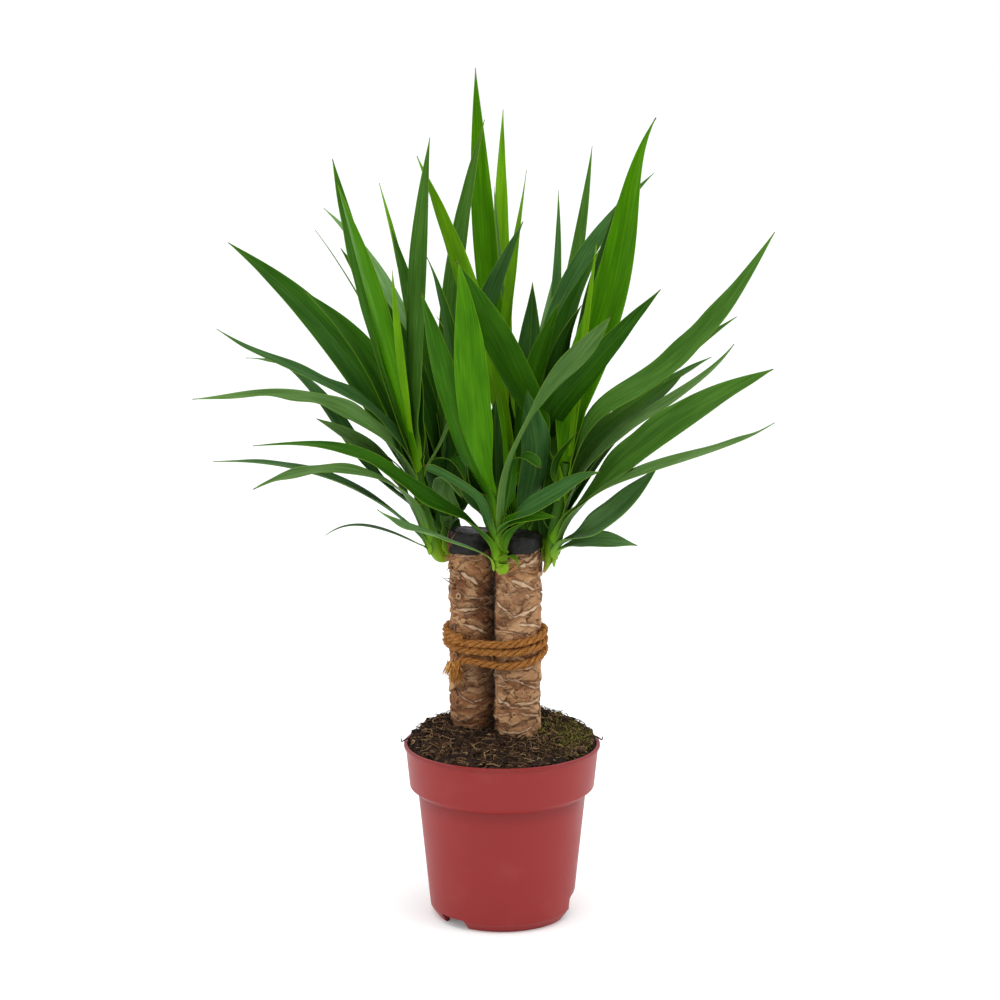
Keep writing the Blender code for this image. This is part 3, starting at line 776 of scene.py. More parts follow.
def barkPlates(random, z, fromFront, wander, swell):  # old leaf bases: the height over the nearest edge
    nearest, plate = np.full(z.shape, 1e9), np.full(z.shape, 0.5)
    for number in range(int((canes["top"] - canes["bottom"] + 30) / canes["plateRise"])):
        spread, rise = random.uniform(60, 96), random.uniform(4, 14)
        away = wrapped(fromFront - number * canes["plateTurn"] - random.normal(0, 10))
        level = canes["bottom"] - 14 + number * canes["plateRise"] + random.normal(0, 1.6)
        above = z + wander * 2.6 + swell * 3 - level - rise * np.abs(away / spread) ** 1.5
        covers = (above >= 0) & (above < nearest) & (np.abs(away) < spread)
        nearest = np.where(covers, above, nearest)
        plate = np.where(covers, random.random(), plate)
    return nearest, plate


def makeCane(side):
    cane = canes[side]
    random = np.random.default_rng(cane["seed"])
    turn = np.linspace(0, math.tau, canes["columns"], endpoint=False)
    z, angle = np.meshgrid(np.linspace(canes["bottom"], canes["top"], canes["rows"]), turn, indexing="ij")
    fromFront = wrapped(np.degrees(angle) + 90)  # 0 is the front, 90 the right
    facing = wrapped(np.degrees(angle) - cane["facing"])
    bark = around(canes["girthRadius"], angle, z)
    wander, swell = bumpy(bark, 9.0, 3, cane["seed"]), bumpy(bark, 30.0, 2, cane["seed"] + 4)
    relief, ridge, groove = barkScars(random, cane, z, fromFront, wander)
    wrinkle = barkWrinkles(random, z, fromFront, wander)
    tone, facet, crease = barkFacets(random, z, angle, wander)
    nearest, plate = barkPlates(random, z, fromFront, wander, swell)
    edge = bell(nearest, 0.9)
    step = np.where(nearest < 40, np.exp(-nearest / 7.0), 0.3) - 0.45
    lip = np.where(nearest < 40, bell(nearest - 1.6, 2.6), 0.0)
    for centre, level, size in cane["eyes"]:
        reach = np.hypot(np.radians(wrapped(fromFront - centre)) * canes["girthRadius"], z - level) / size
        ring, pit = bell(reach - 0.95, 0.3), bell(reach, 0.5)
        # painted shade in each bud's pit
        ridge, groove = np.maximum(ridge, 0.8 * ring) * (1 - pit), np.maximum(groove, pit)
        relief = relief + 1.2 * bell(reach, 1, 4) - 1.4 * pit
    # painted shade along each leaf base's edge
    groove = np.maximum(groove, 0.7 * edge * (1 - ridge))

    shapes = dict(relief=relief, groove=groove, wrinkle=wrinkle, wander=wander, swell=swell)
    shapes |= dict(step=step, edge=edge, facet=facet, crease=crease)
    radius = canes["radius"] + sum(high * shapes[name] for name, high in canes["heights"].items())
    radius = np.clip(radius, *canes["radiusSpan"]) + 0.9 * bell(facing, 32)
    radius -= 1.3 * ramp(z, canes["top"] - canes["shoulder"], canes["top"] - canes["shoulder"] + 6)
    mesh = gridMesh("cane", around(radius, angle, z, canePlaces[side]), wrap=True)
    addValues(mesh, ridge=np.clip(ridge, 0, 1), groove=np.clip(groove, 0, 1), wrinkle=wrinkle * (1 - ridge))
    # painted shade down the side that faces the other cane
    addValues(mesh, seam=0.9 * bell(facing, cane["seamWidth"], 4), plate=plate, lip=lip)
    addValues(mesh, facet=facet / 1.2, crease=crease * (1 - ridge), tone=tone)
    material = caneMaterial(f"yuccaBark{side.capitalize()}", cane["shade"])
    addPiece(f"cane{side.capitalize()}", mesh, material, "cane_bark", f"cane_{side}")
    return material


def makeShreds(material):  # torn bark that stands off the rear cane, and fine hairs where the canes meet
    random = np.random.default_rng(31)
    tubes = []
    for line, width in canes["shreds"]:
        root, bend, tip = np.array(line, float)
        share = np.linspace(0, 1, 9)[:, None]
        curve = root * (1 - share) ** 2 + 2 * bend * share * (1 - share) + tip * share**2
        tubes.append(hair(curve, width, 0.12 * width, 6))
    for _ in range(canes["hairs"]):
        spot = (random.uniform(-9, -3), random.uniform(0, 6), random.uniform(165, 310))
        heading = unit(random.normal((0, -1, 0.3), 0.7))
        tubes.append(hair(randomFibre(random, spot, heading, random.uniform(2, 6), 5, 0.5), 0.16, 0.06))
    mesh = bundleMesh("shreds", tubes)
    # the shreds are darkened all over by a quarter of the groove colour
    for value in barkValues:
        addValues(mesh, **{value: np.full(len(mesh.vertices), 0.25 if value == "groove" else 0.0)})
    addPiece("barkShreds", mesh, material, "cane_bark")


makeCane("front")
makeShreds(makeCane("rear"))
print("canes made")


caps = {
    "front": {"top": 334.5, "edge": 317.5, "slant": 0.3, "seed": 5.0},
    "rear": {"top": 334.0, "edge": 316.0, "slant": 0.0, "seed": 9.0},
    "radius": 20.6,
    "most": 21.2,  # no swell stands further out
}


def waxMaterial():  # grafting wax, dipped: near black, uneven, a dull sheen with finger-wide swells
    material, tree, shader = newMaterial("graftingWax", {"Specular IOR Level": 0.2})
    place = addNode(tree, "TexCoord").outputs["Object"]
    cloud = addNode(tree, "TexNoise", {"Vector": place, "Scale": 120.0, "Detail": 4.0})
    colour = layered(tree, fromHex("#0f0e0d"), [(cloud, 0.4, 0.75, 1.0, "#2a2824")])
    gloss = {"Value": cloud, "From Min": 0.3, "From Max": 0.7, "To Min": 0.4, "To Max": 0.62}
    gloss = addNode(tree, "MapRange", gloss, interpolation_type="SMOOTHSTEP")
    bump = addNode(tree, "Bump", {"Height": cloud, "Strength": 0.5, "Distance": 0.0015})
    setInputs(shader, {"Base Color": colour, "Roughness": gloss, "Normal": bump})
    return material


def makeCap(side, material):
    edge, top, slant, seed = (caps[side][value] for value in ("edge", "top", "slant", "seed"))
    turn = np.linspace(0, math.tau, 120, endpoint=False)
    profile = rounded(  # from the inside of the lower edge to the middle of the top
        (
            (caps["radius"] - 1.6, edge + 3.0, 0),
            (caps["radius"] - 1.2, edge, 0.4),
            (caps["radius"], edge, 0.5),
            (caps["radius"], top, 3.2),
            (0.2, top - 0.6, 0),
        ),
        6,
    )
    lengths = lengthsAlong(profile)
    reach = np.linspace(0, lengths[-1], 64)
    radius, level = (np.interp(reach, lengths, profile[:, axis])[:, None] for axis in (0, 1))
    drip = 1.6 * np.sin(2 * turn + seed) + 1.1 * np.sin(5 * turn + 2 * seed)
    height = level + ramp(level, top - 6, edge) * (slant * 20 * np.cos(turn) + drip)
    swell = bumpy(around(radius, turn, height), 7.0, 3, seed)
    outward = np.clip(radius / caps["radius"], 0.02, 1) * (level > edge + 0.2)
    radius = np.minimum(radius + swell * 0.55 * outward, caps["most"])
    height = np.minimum(height + swell * 0.9 * (level > top - 1.5), top + 0.6)
    points = around(radius, turn, height, canePlaces[side])
    points[-1] = points[-1].mean(axis=0)
    mesh = gridMesh("cap", points, wrap=True)
    addPiece(f"waxCap{side.capitalize()}", mesh, material, "cane_wax", f"wax_cap_{side}")


wax = waxMaterial()
for side in ("front", "rear"):
    makeCap(side, wax)
print("wax caps made")


rope = {
    "levels": (  # the rope's height at each share of a turn, from the front left
        (0.0, 225.0),
        (0.1, 222.3),
        (0.2, 221.8),
        (0.28, 225.5),
        (0.36, 231.5),
        (0.5, 239.0),
        (0.7, 242.0),
        (0.86, 236.5),
        (1.02, 231.8),
        (1.2, 233.4),
        (1.36, 240.5),
        (1.5, 246.5),
        (1.7, 248.0),
        (1.86, 242.0),
        (2.02, 238.0),
        (2.2, 241.0),
        (2.36, 248.5),
        (2.5, 252.5),
        (2.7, 253.0),
        (2.86, 247.5),
        (2.98, 243.0),
        (3.04, 241.0),
    ),
    "turns": 3.02,
    "radius": 3.3,
    "strandRadius": 1.75,
    "strandOffset": 1.65,
    "lay": 23.0,  # length of one twist of the strands
    "tail": ((-42.0, 5.5, 214.0), (-40.6, 5.8, 222.5)),
    "caneRadius": 20.0,
    "gap": 0.35,
    "stations": 620,
    "hairs": 620,
    "hairLength": (2.5, 8),
    "frayed": 170,  # fibres in the loose end, every fifth in a short tuft to its left
    "frayedRoot": (-40.5, 5.6, 221.0),
    "seed": 21,
    "yarn": ((0.3, "#4e2a10"), (0.46, "#8f5822"), (0.6, "#b97c38"), (0.76, "#dba866")),
    "fuzz": ((0.0, "#7a4a1c"), (0.5, "#ad7331"), (0.9, "#d8a560")),
}


def beltPoint(share):  # the place on the rope's line round both canes, from the front left
    radius = rope["caneRadius"] + rope["gap"] + rope["radius"]
    rear, front = np.array(canePlaces["rear"]), np.array(canePlaces["front"])
    apart = np.linalg.norm(front - rear)
    along = (front - rear) / apart
    outward = np.array((along[1], -along[0]))
    half, reach = divmod((share % 1.0) * 2, 1.0)  # the second half is the first, turned about the middle
    reach *= apart + math.pi * radius
    if reach < apart:
        place = rear + outward * radius + along * reach
    else:
        turn = (reach - apart) / radius
        place = front + radius * (outward * math.cos(turn) + along * math.sin(turn))
    return front + rear - place if half else place


def ropeLine():  # the rope's middle line, with its points evenly spaced, and its length
    shares = np.linspace(0.0, rope["turns"], round(60 * rope["turns"]))
    levels = np.interp(shares, *np.transpose(rope["levels"]))
    line = np.array([*rope["tail"], *[(*beltPoint(share), level) for share, level in zip(shares, levels)]])
    soften(line, 1, len(line) - 1, 6)
    lengths = lengthsAlong(line)
    even = np.linspace(0, lengths[-1], rope["stations"])
    return np.stack([np.interp(even, lengths, line[:, axis]) for axis in range(3)], axis=-1), lengths[-1]


def coirMaterial():  # coconut coir, hand spun: coarse golden-brown fibres, dry, with painted shade in the lay
    material, tree, shader = newMaterial("coirYarn", {"Roughness": 0.85, "Specular IOR Level": 0.3})
    texture = addNode(tree, "TexCoord").outputs["UV"]
    stretched = addNode(tree, "Mapping", {"Vector": texture, "Scale": (9.0, 60.0, 1.0)})
    fibre = addNode(tree, "TexNoise", {"Vector": stretched, "Scale": 3.0, "Detail": 5.0, "Roughness": 0.65})
    colour = addNode(tree, "ValToRGB", {"Fac": fibre}, stops=rope["yarn"])
    inLay = addNode(tree, "Attribute", attribute_name="inLay").outputs["Fac"]
    colour = addNode(tree, "Mix", {0: inLay, 6: colour, 7: fromHex("#3c1f0c")}, data_type="RGBA")
    bump = addNode(tree, "Bump", {"Height": fibre, "Strength": 0.9, "Distance": 0.0008})
    setInputs(shader, {"Base Color": colour, "Normal": bump})
    return material


def looseHairs(random, line, side, up):  # short fibres that stand off the rope
    for _ in range(rope["hairs"]):
        at = random.integers(4, len(line) - 4)
        swing = random.random() * math.tau
        outward = side[at] * math.cos(swing) + up[at] * math.sin(swing)
        along = unit(line[at + 1] - line[at - 1])
        heading = unit(outward * 0.8 + along * random.normal(0, 1.0) + (0, 0, random.normal(0, 0.5)))
        start, length = line[at] + outward * 2.8, random.uniform(*rope["hairLength"])
        fibre = randomFibre(random, start, heading, length, 6, 0.35)
        if clearOfCanes(fibre, 20.3):
            yield hair(fibre, 0.13, 0.06)


def frayedEnd(random):
    for number in range(rope["frayed"]):
        side = -1 if number % 5 == 0 else 0
        spread = random.uniform(-1, 1)
        shift = (3.4 * spread + 3 * side, random.normal(0, 0.7), random.normal(0, 1.5))
        start = np.array(rope["frayedRoot"]) + shift
        goal = start + (0.7 * spread + 4.0 * side + random.normal(0, 0.6), -0.6, -random.uniform(10, 19))
        if side:
            goal[2] = random.uniform(209, 214)
        fibre = randomFibre(random, start, unit(goal - start), np.linalg.norm(goal - start), 8, 0.1)
        thick = random.uniform(0.25, 0.55)
        yield hair(fibre, thick, thick / 2, 5)


def makeRope():
    random = np.random.default_rng(rope["seed"])
    line, length = ropeLine()
    side, up = carriedFrame(line)
    twist = -np.linspace(0, math.tau * length / rope["lay"], len(line))
    material = coirMaterial()
    for number, letter in enumerate("ABC"):
        phase = (twist + math.tau * number / 3)[:, None]
        middle = line + rope["strandOffset"] * (side * np.cos(phase) + up * np.sin(phase))
        uneven = 1 + 0.1 * np.sin(np.linspace(0, 70, len(line)) + number * 2)
        strand = rings(middle, rope["strandRadius"] * uneven, 14)
        rough = bumpy(strand, 1.6, 3, number * 5.0)
        strand = strand + unit(strand - middle[:, None]) * rough[..., None] * 0.7
        deep = np.linalg.norm(strand - line[:, None], axis=-1)
        mesh = gridMesh("strand", strand, wrap=True)
        # painted shade where a strand's surface dips into the lay
        addValues(mesh, inLay=ramp(deep, 2.55, 1.75) * 0.95)
        addPiece(f"ropeStrand{letter}", mesh, material, "coir", "rope_tie")
    fuzz = bundleMesh("fuzz", [*looseHairs(random, line, side, up), *frayedEnd(random)])
    addPiece("ropeFuzz", fuzz, islandMaterial("coirLooseFibre", rope["fuzz"]), "coir")


makeRope()
print("rope made")


# Each shoot: its stem's line, its radius at shares of that line, and its leaves from the
# lowest up. A leaf is cad (it stands for the next CAD leaf) or young, its tone, how wavy its
# edge is, its width, its roll half-way and at its tip in degrees, and where its midrib goes.
shoots = {
    "left": {
        "joint": (-43.5, 29, 309),  # where it leaves the cane
        "line": ((-53, 28, 307), (-61, 24, 326), (-67, 20, 351), (-71, 16, 381), (-73, 14, 410)),
        "girth": ((0.0, 4.4), (0.1, 5.8), (0.3, 5.8), (0.6, 4.6), (1.0, 3.0)),
        "leaves": (
            ("cad", "dark", 0.5, 10, 0, 0, (-101, 14, 336), (-131, 15, 340), (-152, 16, 331)),
            ("cad", "blue", 0.5, 22, 10, 5, (-146, -6, 384), (-243, -20, 401)),
            ("cad", "grey", 1.2, 22, 15, 15, (-95, -14, 381), (-143, -44, 397), (-203, -84, 388)),
            ("cad", "grey", 0.5, 26, 30, 30, (-116, 2, 408), (-157, -2, 435)),
            ("young", "dark", 0.3, 7, 0, 0, (-100, 10, 402), (-121, 6, 415), (-147, 0, 430)),
            ("cad", "blue", 1.5, (20, 0.6, 0.0, 0.5, 0.8), 10, 10,
             (-142, 36, 429), (-170, 58, 460), (-225, 84, 477)),
            ("cad", "blue", 2.0, (16, 0.5, 0.1, 0.55, 0.6), 20, 20,
             (-109, 20, 438), (-148, 30, 461), (-197, 36, 482), (-245, 40, 507)),
            ("cad", "grey", 2.0, (26, 0.6, 0.0, 0.36, 1.1), 45, 30,
             (-99, 2, 416), (-152, -22, 453), (-204, -42, 461), (-254, -60, 459)),
            ("cad", "mid", 0.5, 28, 20, 20, (-131, 54, 500), (-171, 64, 537)),
            ("young", "grey", 0.3, 6, 0, 0, (-43, 40, 489), (-56, 40, 518)),
            ("cad", "mid", 0.5, 29, 0, 0, (-113, 34, 515), (-145, 58, 651)),
            ("cad", "bright", 0.5, 28, -25, -10, (-108, 4, 531), (-137, -6, 633)),
            ("young", "dark", 0.3, (18, 0.9, 0.0, 0.3, 0.5), 60, 60,
             (-72, 22, 426), (-74, 26, 456), (-77, 28, 494)),
            ("young", "lime", 0.3, 8, 0, 0, (-87, -8, 502), (-91, -20, 562)),
            ("cad", "fern", 0.5, 16, 35, 35, (-74, 6, 509), (-59, -26, 671)),
        ),
    },
    "front": {
        "joint": (3, -7, 303),  # where it leaves the cane
        "line": ((-1, -15, 309), (-3, -19, 327), (-4, -22, 351), (-6, -24, 376)),
        "girth": ((0.0, 4.8), (0.08, 6.0), (0.25, 5.0), (1.0, 3.0)),
        "leaves": (
            ("young", "dark", 0.3, (11, 1.0, 0.0, 0.35, 0.5), 0, 20,
             (1, -22, 317), (6, -27, 321), (11, -31, 319), (14, -32, 312)),
            ("cad", "sage", 2.0, (15, 0.36, 0.3, 0.6, 0.3), 15, 15,
             (-44, -36, 337), (-81, -54, 352), (-103, -64, 368)),
            ("young", "dark", 0.3, (10, 0.9, 0.0, 0.3, 0.5), 10, 10,
             (4, -26, 337), (12, -33, 347), (23, -38, 354)),
            ("young", "mid", 0.5, (10.5, 0.8, 0.0, 0.3, 0.4), -60, -70,
             (1, -28, 347), (11, -36, 355), (25, -44, 359), (46, -50, 359)),
            ("cad", "dark", 1.0, (17, 0.9, 0.0, 0.4, 0.6), 62, 20,
             (-34, -32, 356), (-60, -50, 374), (-95, -84, 406), (-134, -112, 427), (-197, -138, 432)),
            ("young", "blue", 0.9, (8, 1.2, 0.0, 0.3, 0.08), -40, -60,
             (-12, -30, 353), (-18, -38, 371), (-32, -48, 385), (-49, -58, 397), (-64, -66, 405)),
            ("young", "deep", 0.3, (17, 0.8, 0.0, 0.4, 0.4), 50, 60,
             (-14, -12, 362), (-24, -6, 368), (-36, 0, 374)),
            ("cad", "blue", 0.5, (19, 0.7, 0.0, 0.5, 0.42), -62, -50,
             (9, -34, 354), (32, -50, 372), (54, -74, 389), (79, -105, 406)),
            ("young", "dark", 0.5, (12.5, 0.9, 0.0, 0.1, 0.12), 0, -20,
             (4, -22, 364), (7, -28, 384), (11, -34, 403), (17, -40, 409), (26, -46, 406), (32, -50, 400)),
            ("cad", "grey", 0.5, (21, 0.33, 0.42, 0.74, 0.3), 0, 60,
             (2, -38, 390), (8, -46, 411), (17, -52, 431), (32, -60, 458), (49, -70, 481), (67, -82, 503),
             (87, -100, 531)),
            ("cad", "mid", 0.5, (26, 0.62, 0.02, 0.4, 0.5), 0, 0,
             (-20, -32, 387), (-29, -46, 411), (-42, -66, 457), (-52, -86, 501), (-64, -110, 551)),
            ("young", "deep", 0.3, (13, 0.8, 0.0, 0.4, 0.5), 0, 0,
             (-5, -30, 397), (-6, -36, 426), (-5, -42, 460)),
            ("young", "shade", 0.5, (22, 0.8, 0.02, 0.4, 0.5), 40, 40,
             (-22, -22, 381), (-29, -24, 394), (-33, -30, 421)),
            ("cad", "bright", 0.5, (28, 0.32, 0.02, 0.36, 0.5), 0, 0,
             (-17, -54, 408), (-25, -98, 481), (-34, -150, 578)),
            ("young", "dark", 0.5, 18, 20, 20, (-36, -50, 465), (-45, -74, 525), (-60, -96, 578)),
        ),
    },
    "right": {
        "joint": (36, 4, 301),  # where it leaves the cane
        "line": ((39, 4, 309), (43, 2, 325), (47, -2, 350), (51, -4, 376), (54, -6, 398)),
        "girth": ((0.0, 3.2), (0.15, 5.6), (0.3, 6.0), (0.6, 4.8), (1.0, 3.2)),
        "leaves": (
            ("cad", "sage", 1.0, (20, 0.5, 0.0, 0.4, 0.5), -30, -30,
             (62, -2, 327), (83, -8, 331), (115, -14, 328)),
            ("young", "deep", 0.3, (15, 0.9, 0.0, 0.3, 0.5), 20, 20,
             (34, 16, 317), (32, 20, 331), (34, 26, 352)),
            ("young", "deep", 0.5, (20, 0.7, 0.0, 0.4, 0.5), 60, 60,
             (41, 12, 337), (39, 18, 357), (40, 24, 387)),
            ("cad", "sage", 0.5, 26, -50, -50, (93, -22, 357), (130, -34, 399)),
            ("young", "deep", 0.5, (24, 0.7, 0.0, 0.4, 0.5), 0, 0,
             (46, 12, 363), (52, 24, 396), (58, 32, 438)),
            ("cad", "grey", 1.0, (20, 0.4, 0.0, 0.5, 0.5), -30, -22,
             (68, -24, 365), (122, -60, 401), (160, -84, 417), (217, -120, 448)),
            ("cad", "fern", 1.0, 36, -45, -45, (136, -36, 429), (223, -52, 483)),
            ("cad", "dark", 0.5, 26, 0, 0, (131, 88, 442), (188, 128, 473)),
            ("cad", "grey", 0.5, 20, -20, -20, (98, -6, 420), (140, -8, 450), (195, -6, 499)),
            ("cad", "dark", 0.5, 26, -5, -5, (134, 68, 457), (207, 98, 512)),
            ("cad", "fern", 0.5, (28, 0.5, 0.02, 0.6, 0.36), -20, -20,
             (84, 20, 415), (118, 28, 440), (156, 34, 470)),
            ("young", "deep", 0.3, (8, 0.4, 0.0, 0.5, 0.5), 0, 0,
             (46, -14, 400), (54, -22, 415), (63, -30, 428)),
            ("cad", "fern", 0.9, (26, 0.45, 0.0, 0.45, 0.5), -32, -30,
             (83, 0, 440), (117, 8, 461), (160, 18, 495), (198, 28, 539), (232, 36, 590)),
            ("young", "dark", 0.5, 20, 0, 0, (85, 50, 430), (110, 66, 449), (139, 90, 467)),
            ("cad", "deep", 0.5, 24, -5, -5, (84, 44, 544), (106, 56, 632)),
            ("young", "lime", 0.3, 9, 0, 0, (73, 14, 526), (80, 18, 582)),
            ("cad", "mid", 0.5, (27, 0.78, 0.0, 0.42, 0.46), -35, -60,
             (30, 12, 432), (13, -8, 470), (-9, -40, 516), (-38, -84, 575)),
            ("cad", "bright", 0.5, (38, 0.5, 0.0, 0.22, 0.75), -40, -40,
             (60, 14, 432), (77, 24, 485), (101, 32, 575), (130, 38, 686)),
        ),
    },
    "back": {
        "joint": (-38, 43, 305),  # where it leaves the cane
        "line": ((-45, 48, 306), (-50, 52, 329), (-53, 56, 351), (-54, 58, 373), (-53, 60, 394)),
        "girth": ((0.0, 4.6), (0.1, 6.0), (0.4, 4.6), (1.0, 2.6)),
        "leaves": (
            ("cad", "dark", 0.5, 32, 40, 40, (-104, 84, 430), (-141, 112, 480), (-248, 165, 573)),
            ("young", "deep", 0.5, (20, 1.0, 0.0, 0.3, 0.3), 0, 0,
             (-52, 42, 353), (-56, 34, 376), (-53, 26, 393), (-40, 14, 396), (-31, 6, 379)),
            ("young", "deep", 0.5, (26, 0.9, 0.0, 0.3, 0.5), 80, 80,
             (-47, 50, 347), (-38, 44, 366), (-29, 36, 392), (-23, 30, 429)),
            ("young", "deep", 0.5, (26, 0.8, 0.0, 0.3, 0.5), 80, 80,
             (-49, 54, 351), (-45, 50, 374), (-38, 46, 410), (-33, 44, 454)),
            ("young", "deep", 0.5, (26, 0.8, 0.0, 0.3, 0.5), 80, 80,
             (-56, 60, 354), (-58, 64, 389), (-63, 72, 432), (-68, 82, 475)),
            ("young", "grey", 0.5, (18, 0.9, 0.0, 0.3, 0.3), 0, 0,
             (-46, 40, 353), (-51, 30, 368), (-47, 20, 380), (-39, 12, 373), (-34, 6, 365)),
            ("cad", "dark", 0.5, 10, -38, -38, (-128, 150, 522), (-171, 190, 583)),
            ("cad", "sage", 0.5, 16, 20, 20, (-108, 140, 541), (-164, 205, 602)),
            ("cad", "deep", 0.5, 23, 35, 35, (-88, 64, 490), (-114, 74, 534), (-141, 88, 573)),
            ("young", "lime", 0.3, 10, 0, 0, (-83, 100, 527), (-109, 130, 628)),
            ("cad", "dark", 0.5, 26, -10, -10, (-79, 88, 514), (-98, 108, 591)),
            ("cad", "blue", 0.5, 24, 40, 40, (-14, 46, 523), (18, 36, 599)),
            ("cad", "fern", 0.5, 17, -55, -75, (-41, 72, 555), (-15, 66, 684)),
        ),
    },
    "behind": {
        "joint": (19, 26, 305),  # where it leaves the cane
        "line": ((21, 34, 306), (20, 39, 328), (17, 44, 352), (13, 48, 378), (8, 52, 406)),
        "girth": ((0.0, 4.8), (0.1, 6.2), (0.4, 5.0), (1.0, 3.0)),
        "leaves": (
            ("young", "shade", 0.3, (30, 0.8, 0.0, 0.3, 0.5), 80, 80,
             (5, 44, 353), (-9, 46, 383), (-17, 44, 427)),
            ("young", "shade", 0.3, (26, 0.8, 0.0, 0.3, 0.5), 0, 0,
             (9, 48, 365), (5, 54, 409), (7, 60, 452)),
            ("young", "deep", 0.3, (26, 0.8, 0.0, 0.3, 0.5), 60, 60,
             (10, 42, 349), (0, 40, 384), (-5, 38, 441)),
            ("young", "bright", 0.3, (11, 0.9, 0.0, 0.3, 0.4), -20, -20,
             (6, 36, 367), (1, 30, 395), (-1, 28, 425), (-3, 26, 456)),
            ("young", "dark", 0.5, 22, 0, 0, (0, 50, 380), (-20, 44, 430), (-30, 30, 460)),
            ("cad", "blue", 0.5, (25, 0.6, 0.0, 0.35, 0.34), 0, 0,
             (24, 35, 350), (29, 3, 398), (26, -22, 434), (21, -36, 464)),
            ("cad", "dark", 0.5, (25, 0.42, 0.1, 0.5, 0.42), 33, 33,
             (35, 40, 362), (35, 26, 409), (43, 8, 436), (64, -14, 466), (94, -36, 506), (129, -60, 549)),
            ("young", "sage", 0.5, 22, 35, 35, (39, 160, 484), (48, 208, 541)),
            ("cad", "deep", 0.5, (30, 0.6, 0.0, 0.62, 0.5), 10, 10,
             (19, 92, 398), (25, 149, 476), (28, 190, 535)),
            ("young", "sage", 0.3, 20, 0, 0, (42, 150, 495), (46, 170, 524)),
            ("cad", "deep", 0.5, 23, 45, 60, (43, 43, 418), (51, 33, 489), (68, 32, 528)),
            ("cad", "dark", 0.5, 30, -15, -15, (57, 72, 512), (85, 82, 572)),
            ("cad", "blue", 0.5, 12, 20, 10, (49, 172, 520), (52, 216, 618)),
            ("cad", "fern", 0.5, 15, -5, -5, (66, 150, 554), (82, 188, 659)),
            ("cad", "blue", 0.5, (17, 0.4, 0.1, 0.65, 0.45), -40, -50, (74, 124, 564), (137, 160, 636)),
            ("cad", "mid", 0.5, 18, 45, 60, (33, 28, 490), (49, 22, 532)),
            ("cad", "lime", 0.5, 21, -33, -33, (-29, 16, 542), (-71, 4, 655)),
            ("young", "lime", 0.3, (12, 0.8, 0.0, 0.5, 0.4), 0, 0,
             (1, 52, 444), (6, 60, 530), (21, 66, 641)),
            ("young", "grey", 0.3, 8, 0, 0, (-2, 100, 544), (-7, 120, 626)),
            ("cad", "lime", 0.5, 16, -20, -20, (-1, 116, 578), (1, 140, 692)),
            ("cad", "bright", 0.5, 21, 30, 30, (-15, 86, 580), (-23, 98, 728)),
        ),
    },
}

leaf = {
    "stations": 46,
    "across": 10,
    "thickness": 0.55,
    "lowest": 0.12,  # share of the stem where the lowest leaf leaves it
    "spread": 0.86,
    "offset": 1.2,  # from the stem's surface
    "sheath": 14.0,  # length of the clasping base
    "fold": 0.16,  # how far the edges rise over the midrib, as a share of the half width
    "bow": ((0.06, 8.5), (0.16, 18.0), (0.35, 44.0), (0.75, 60.0), (1.0, 24.0)),  # radius across the blade
    "outline": (0.6, 0.02, 0.42, 0.48),  # where a row gives only the width
    "tones": {  # the blade and its streaks
        "lime": ("#588c04", "#6a9e10"),
        "bright": ("#3a7200", "#4c8406"),
        "mid": ("#2b5c02", "#3c6e10"),
        "dark": ("#234d05", "#325f13"),
        "deep": ("#193c05", "#254b0f"),
        # painted shade: a near-black copy of the leaf for leaves deep in the tuft
        "shade": ("#133003", "#1c3d0a"),
        "blue": ("#2f5524", "#436c35"),
        "grey": ("#47692c", "#5c7e44"),
        "sage": ("#567d40", "#719660"),
        "fern": ("#386018", "#4b752b"),
    },
}


def widthShare(t, neck, start, full, point):  # a narrower neck, then broad, then drawn to a point
    rise = neck + (1 - neck) * eased((t - start) / (full - start))
    fall = np.sin(math.pi / 2 * np.clip((1 - t) / point, 0, 1))
    return np.maximum(rise * fall, 0.02)


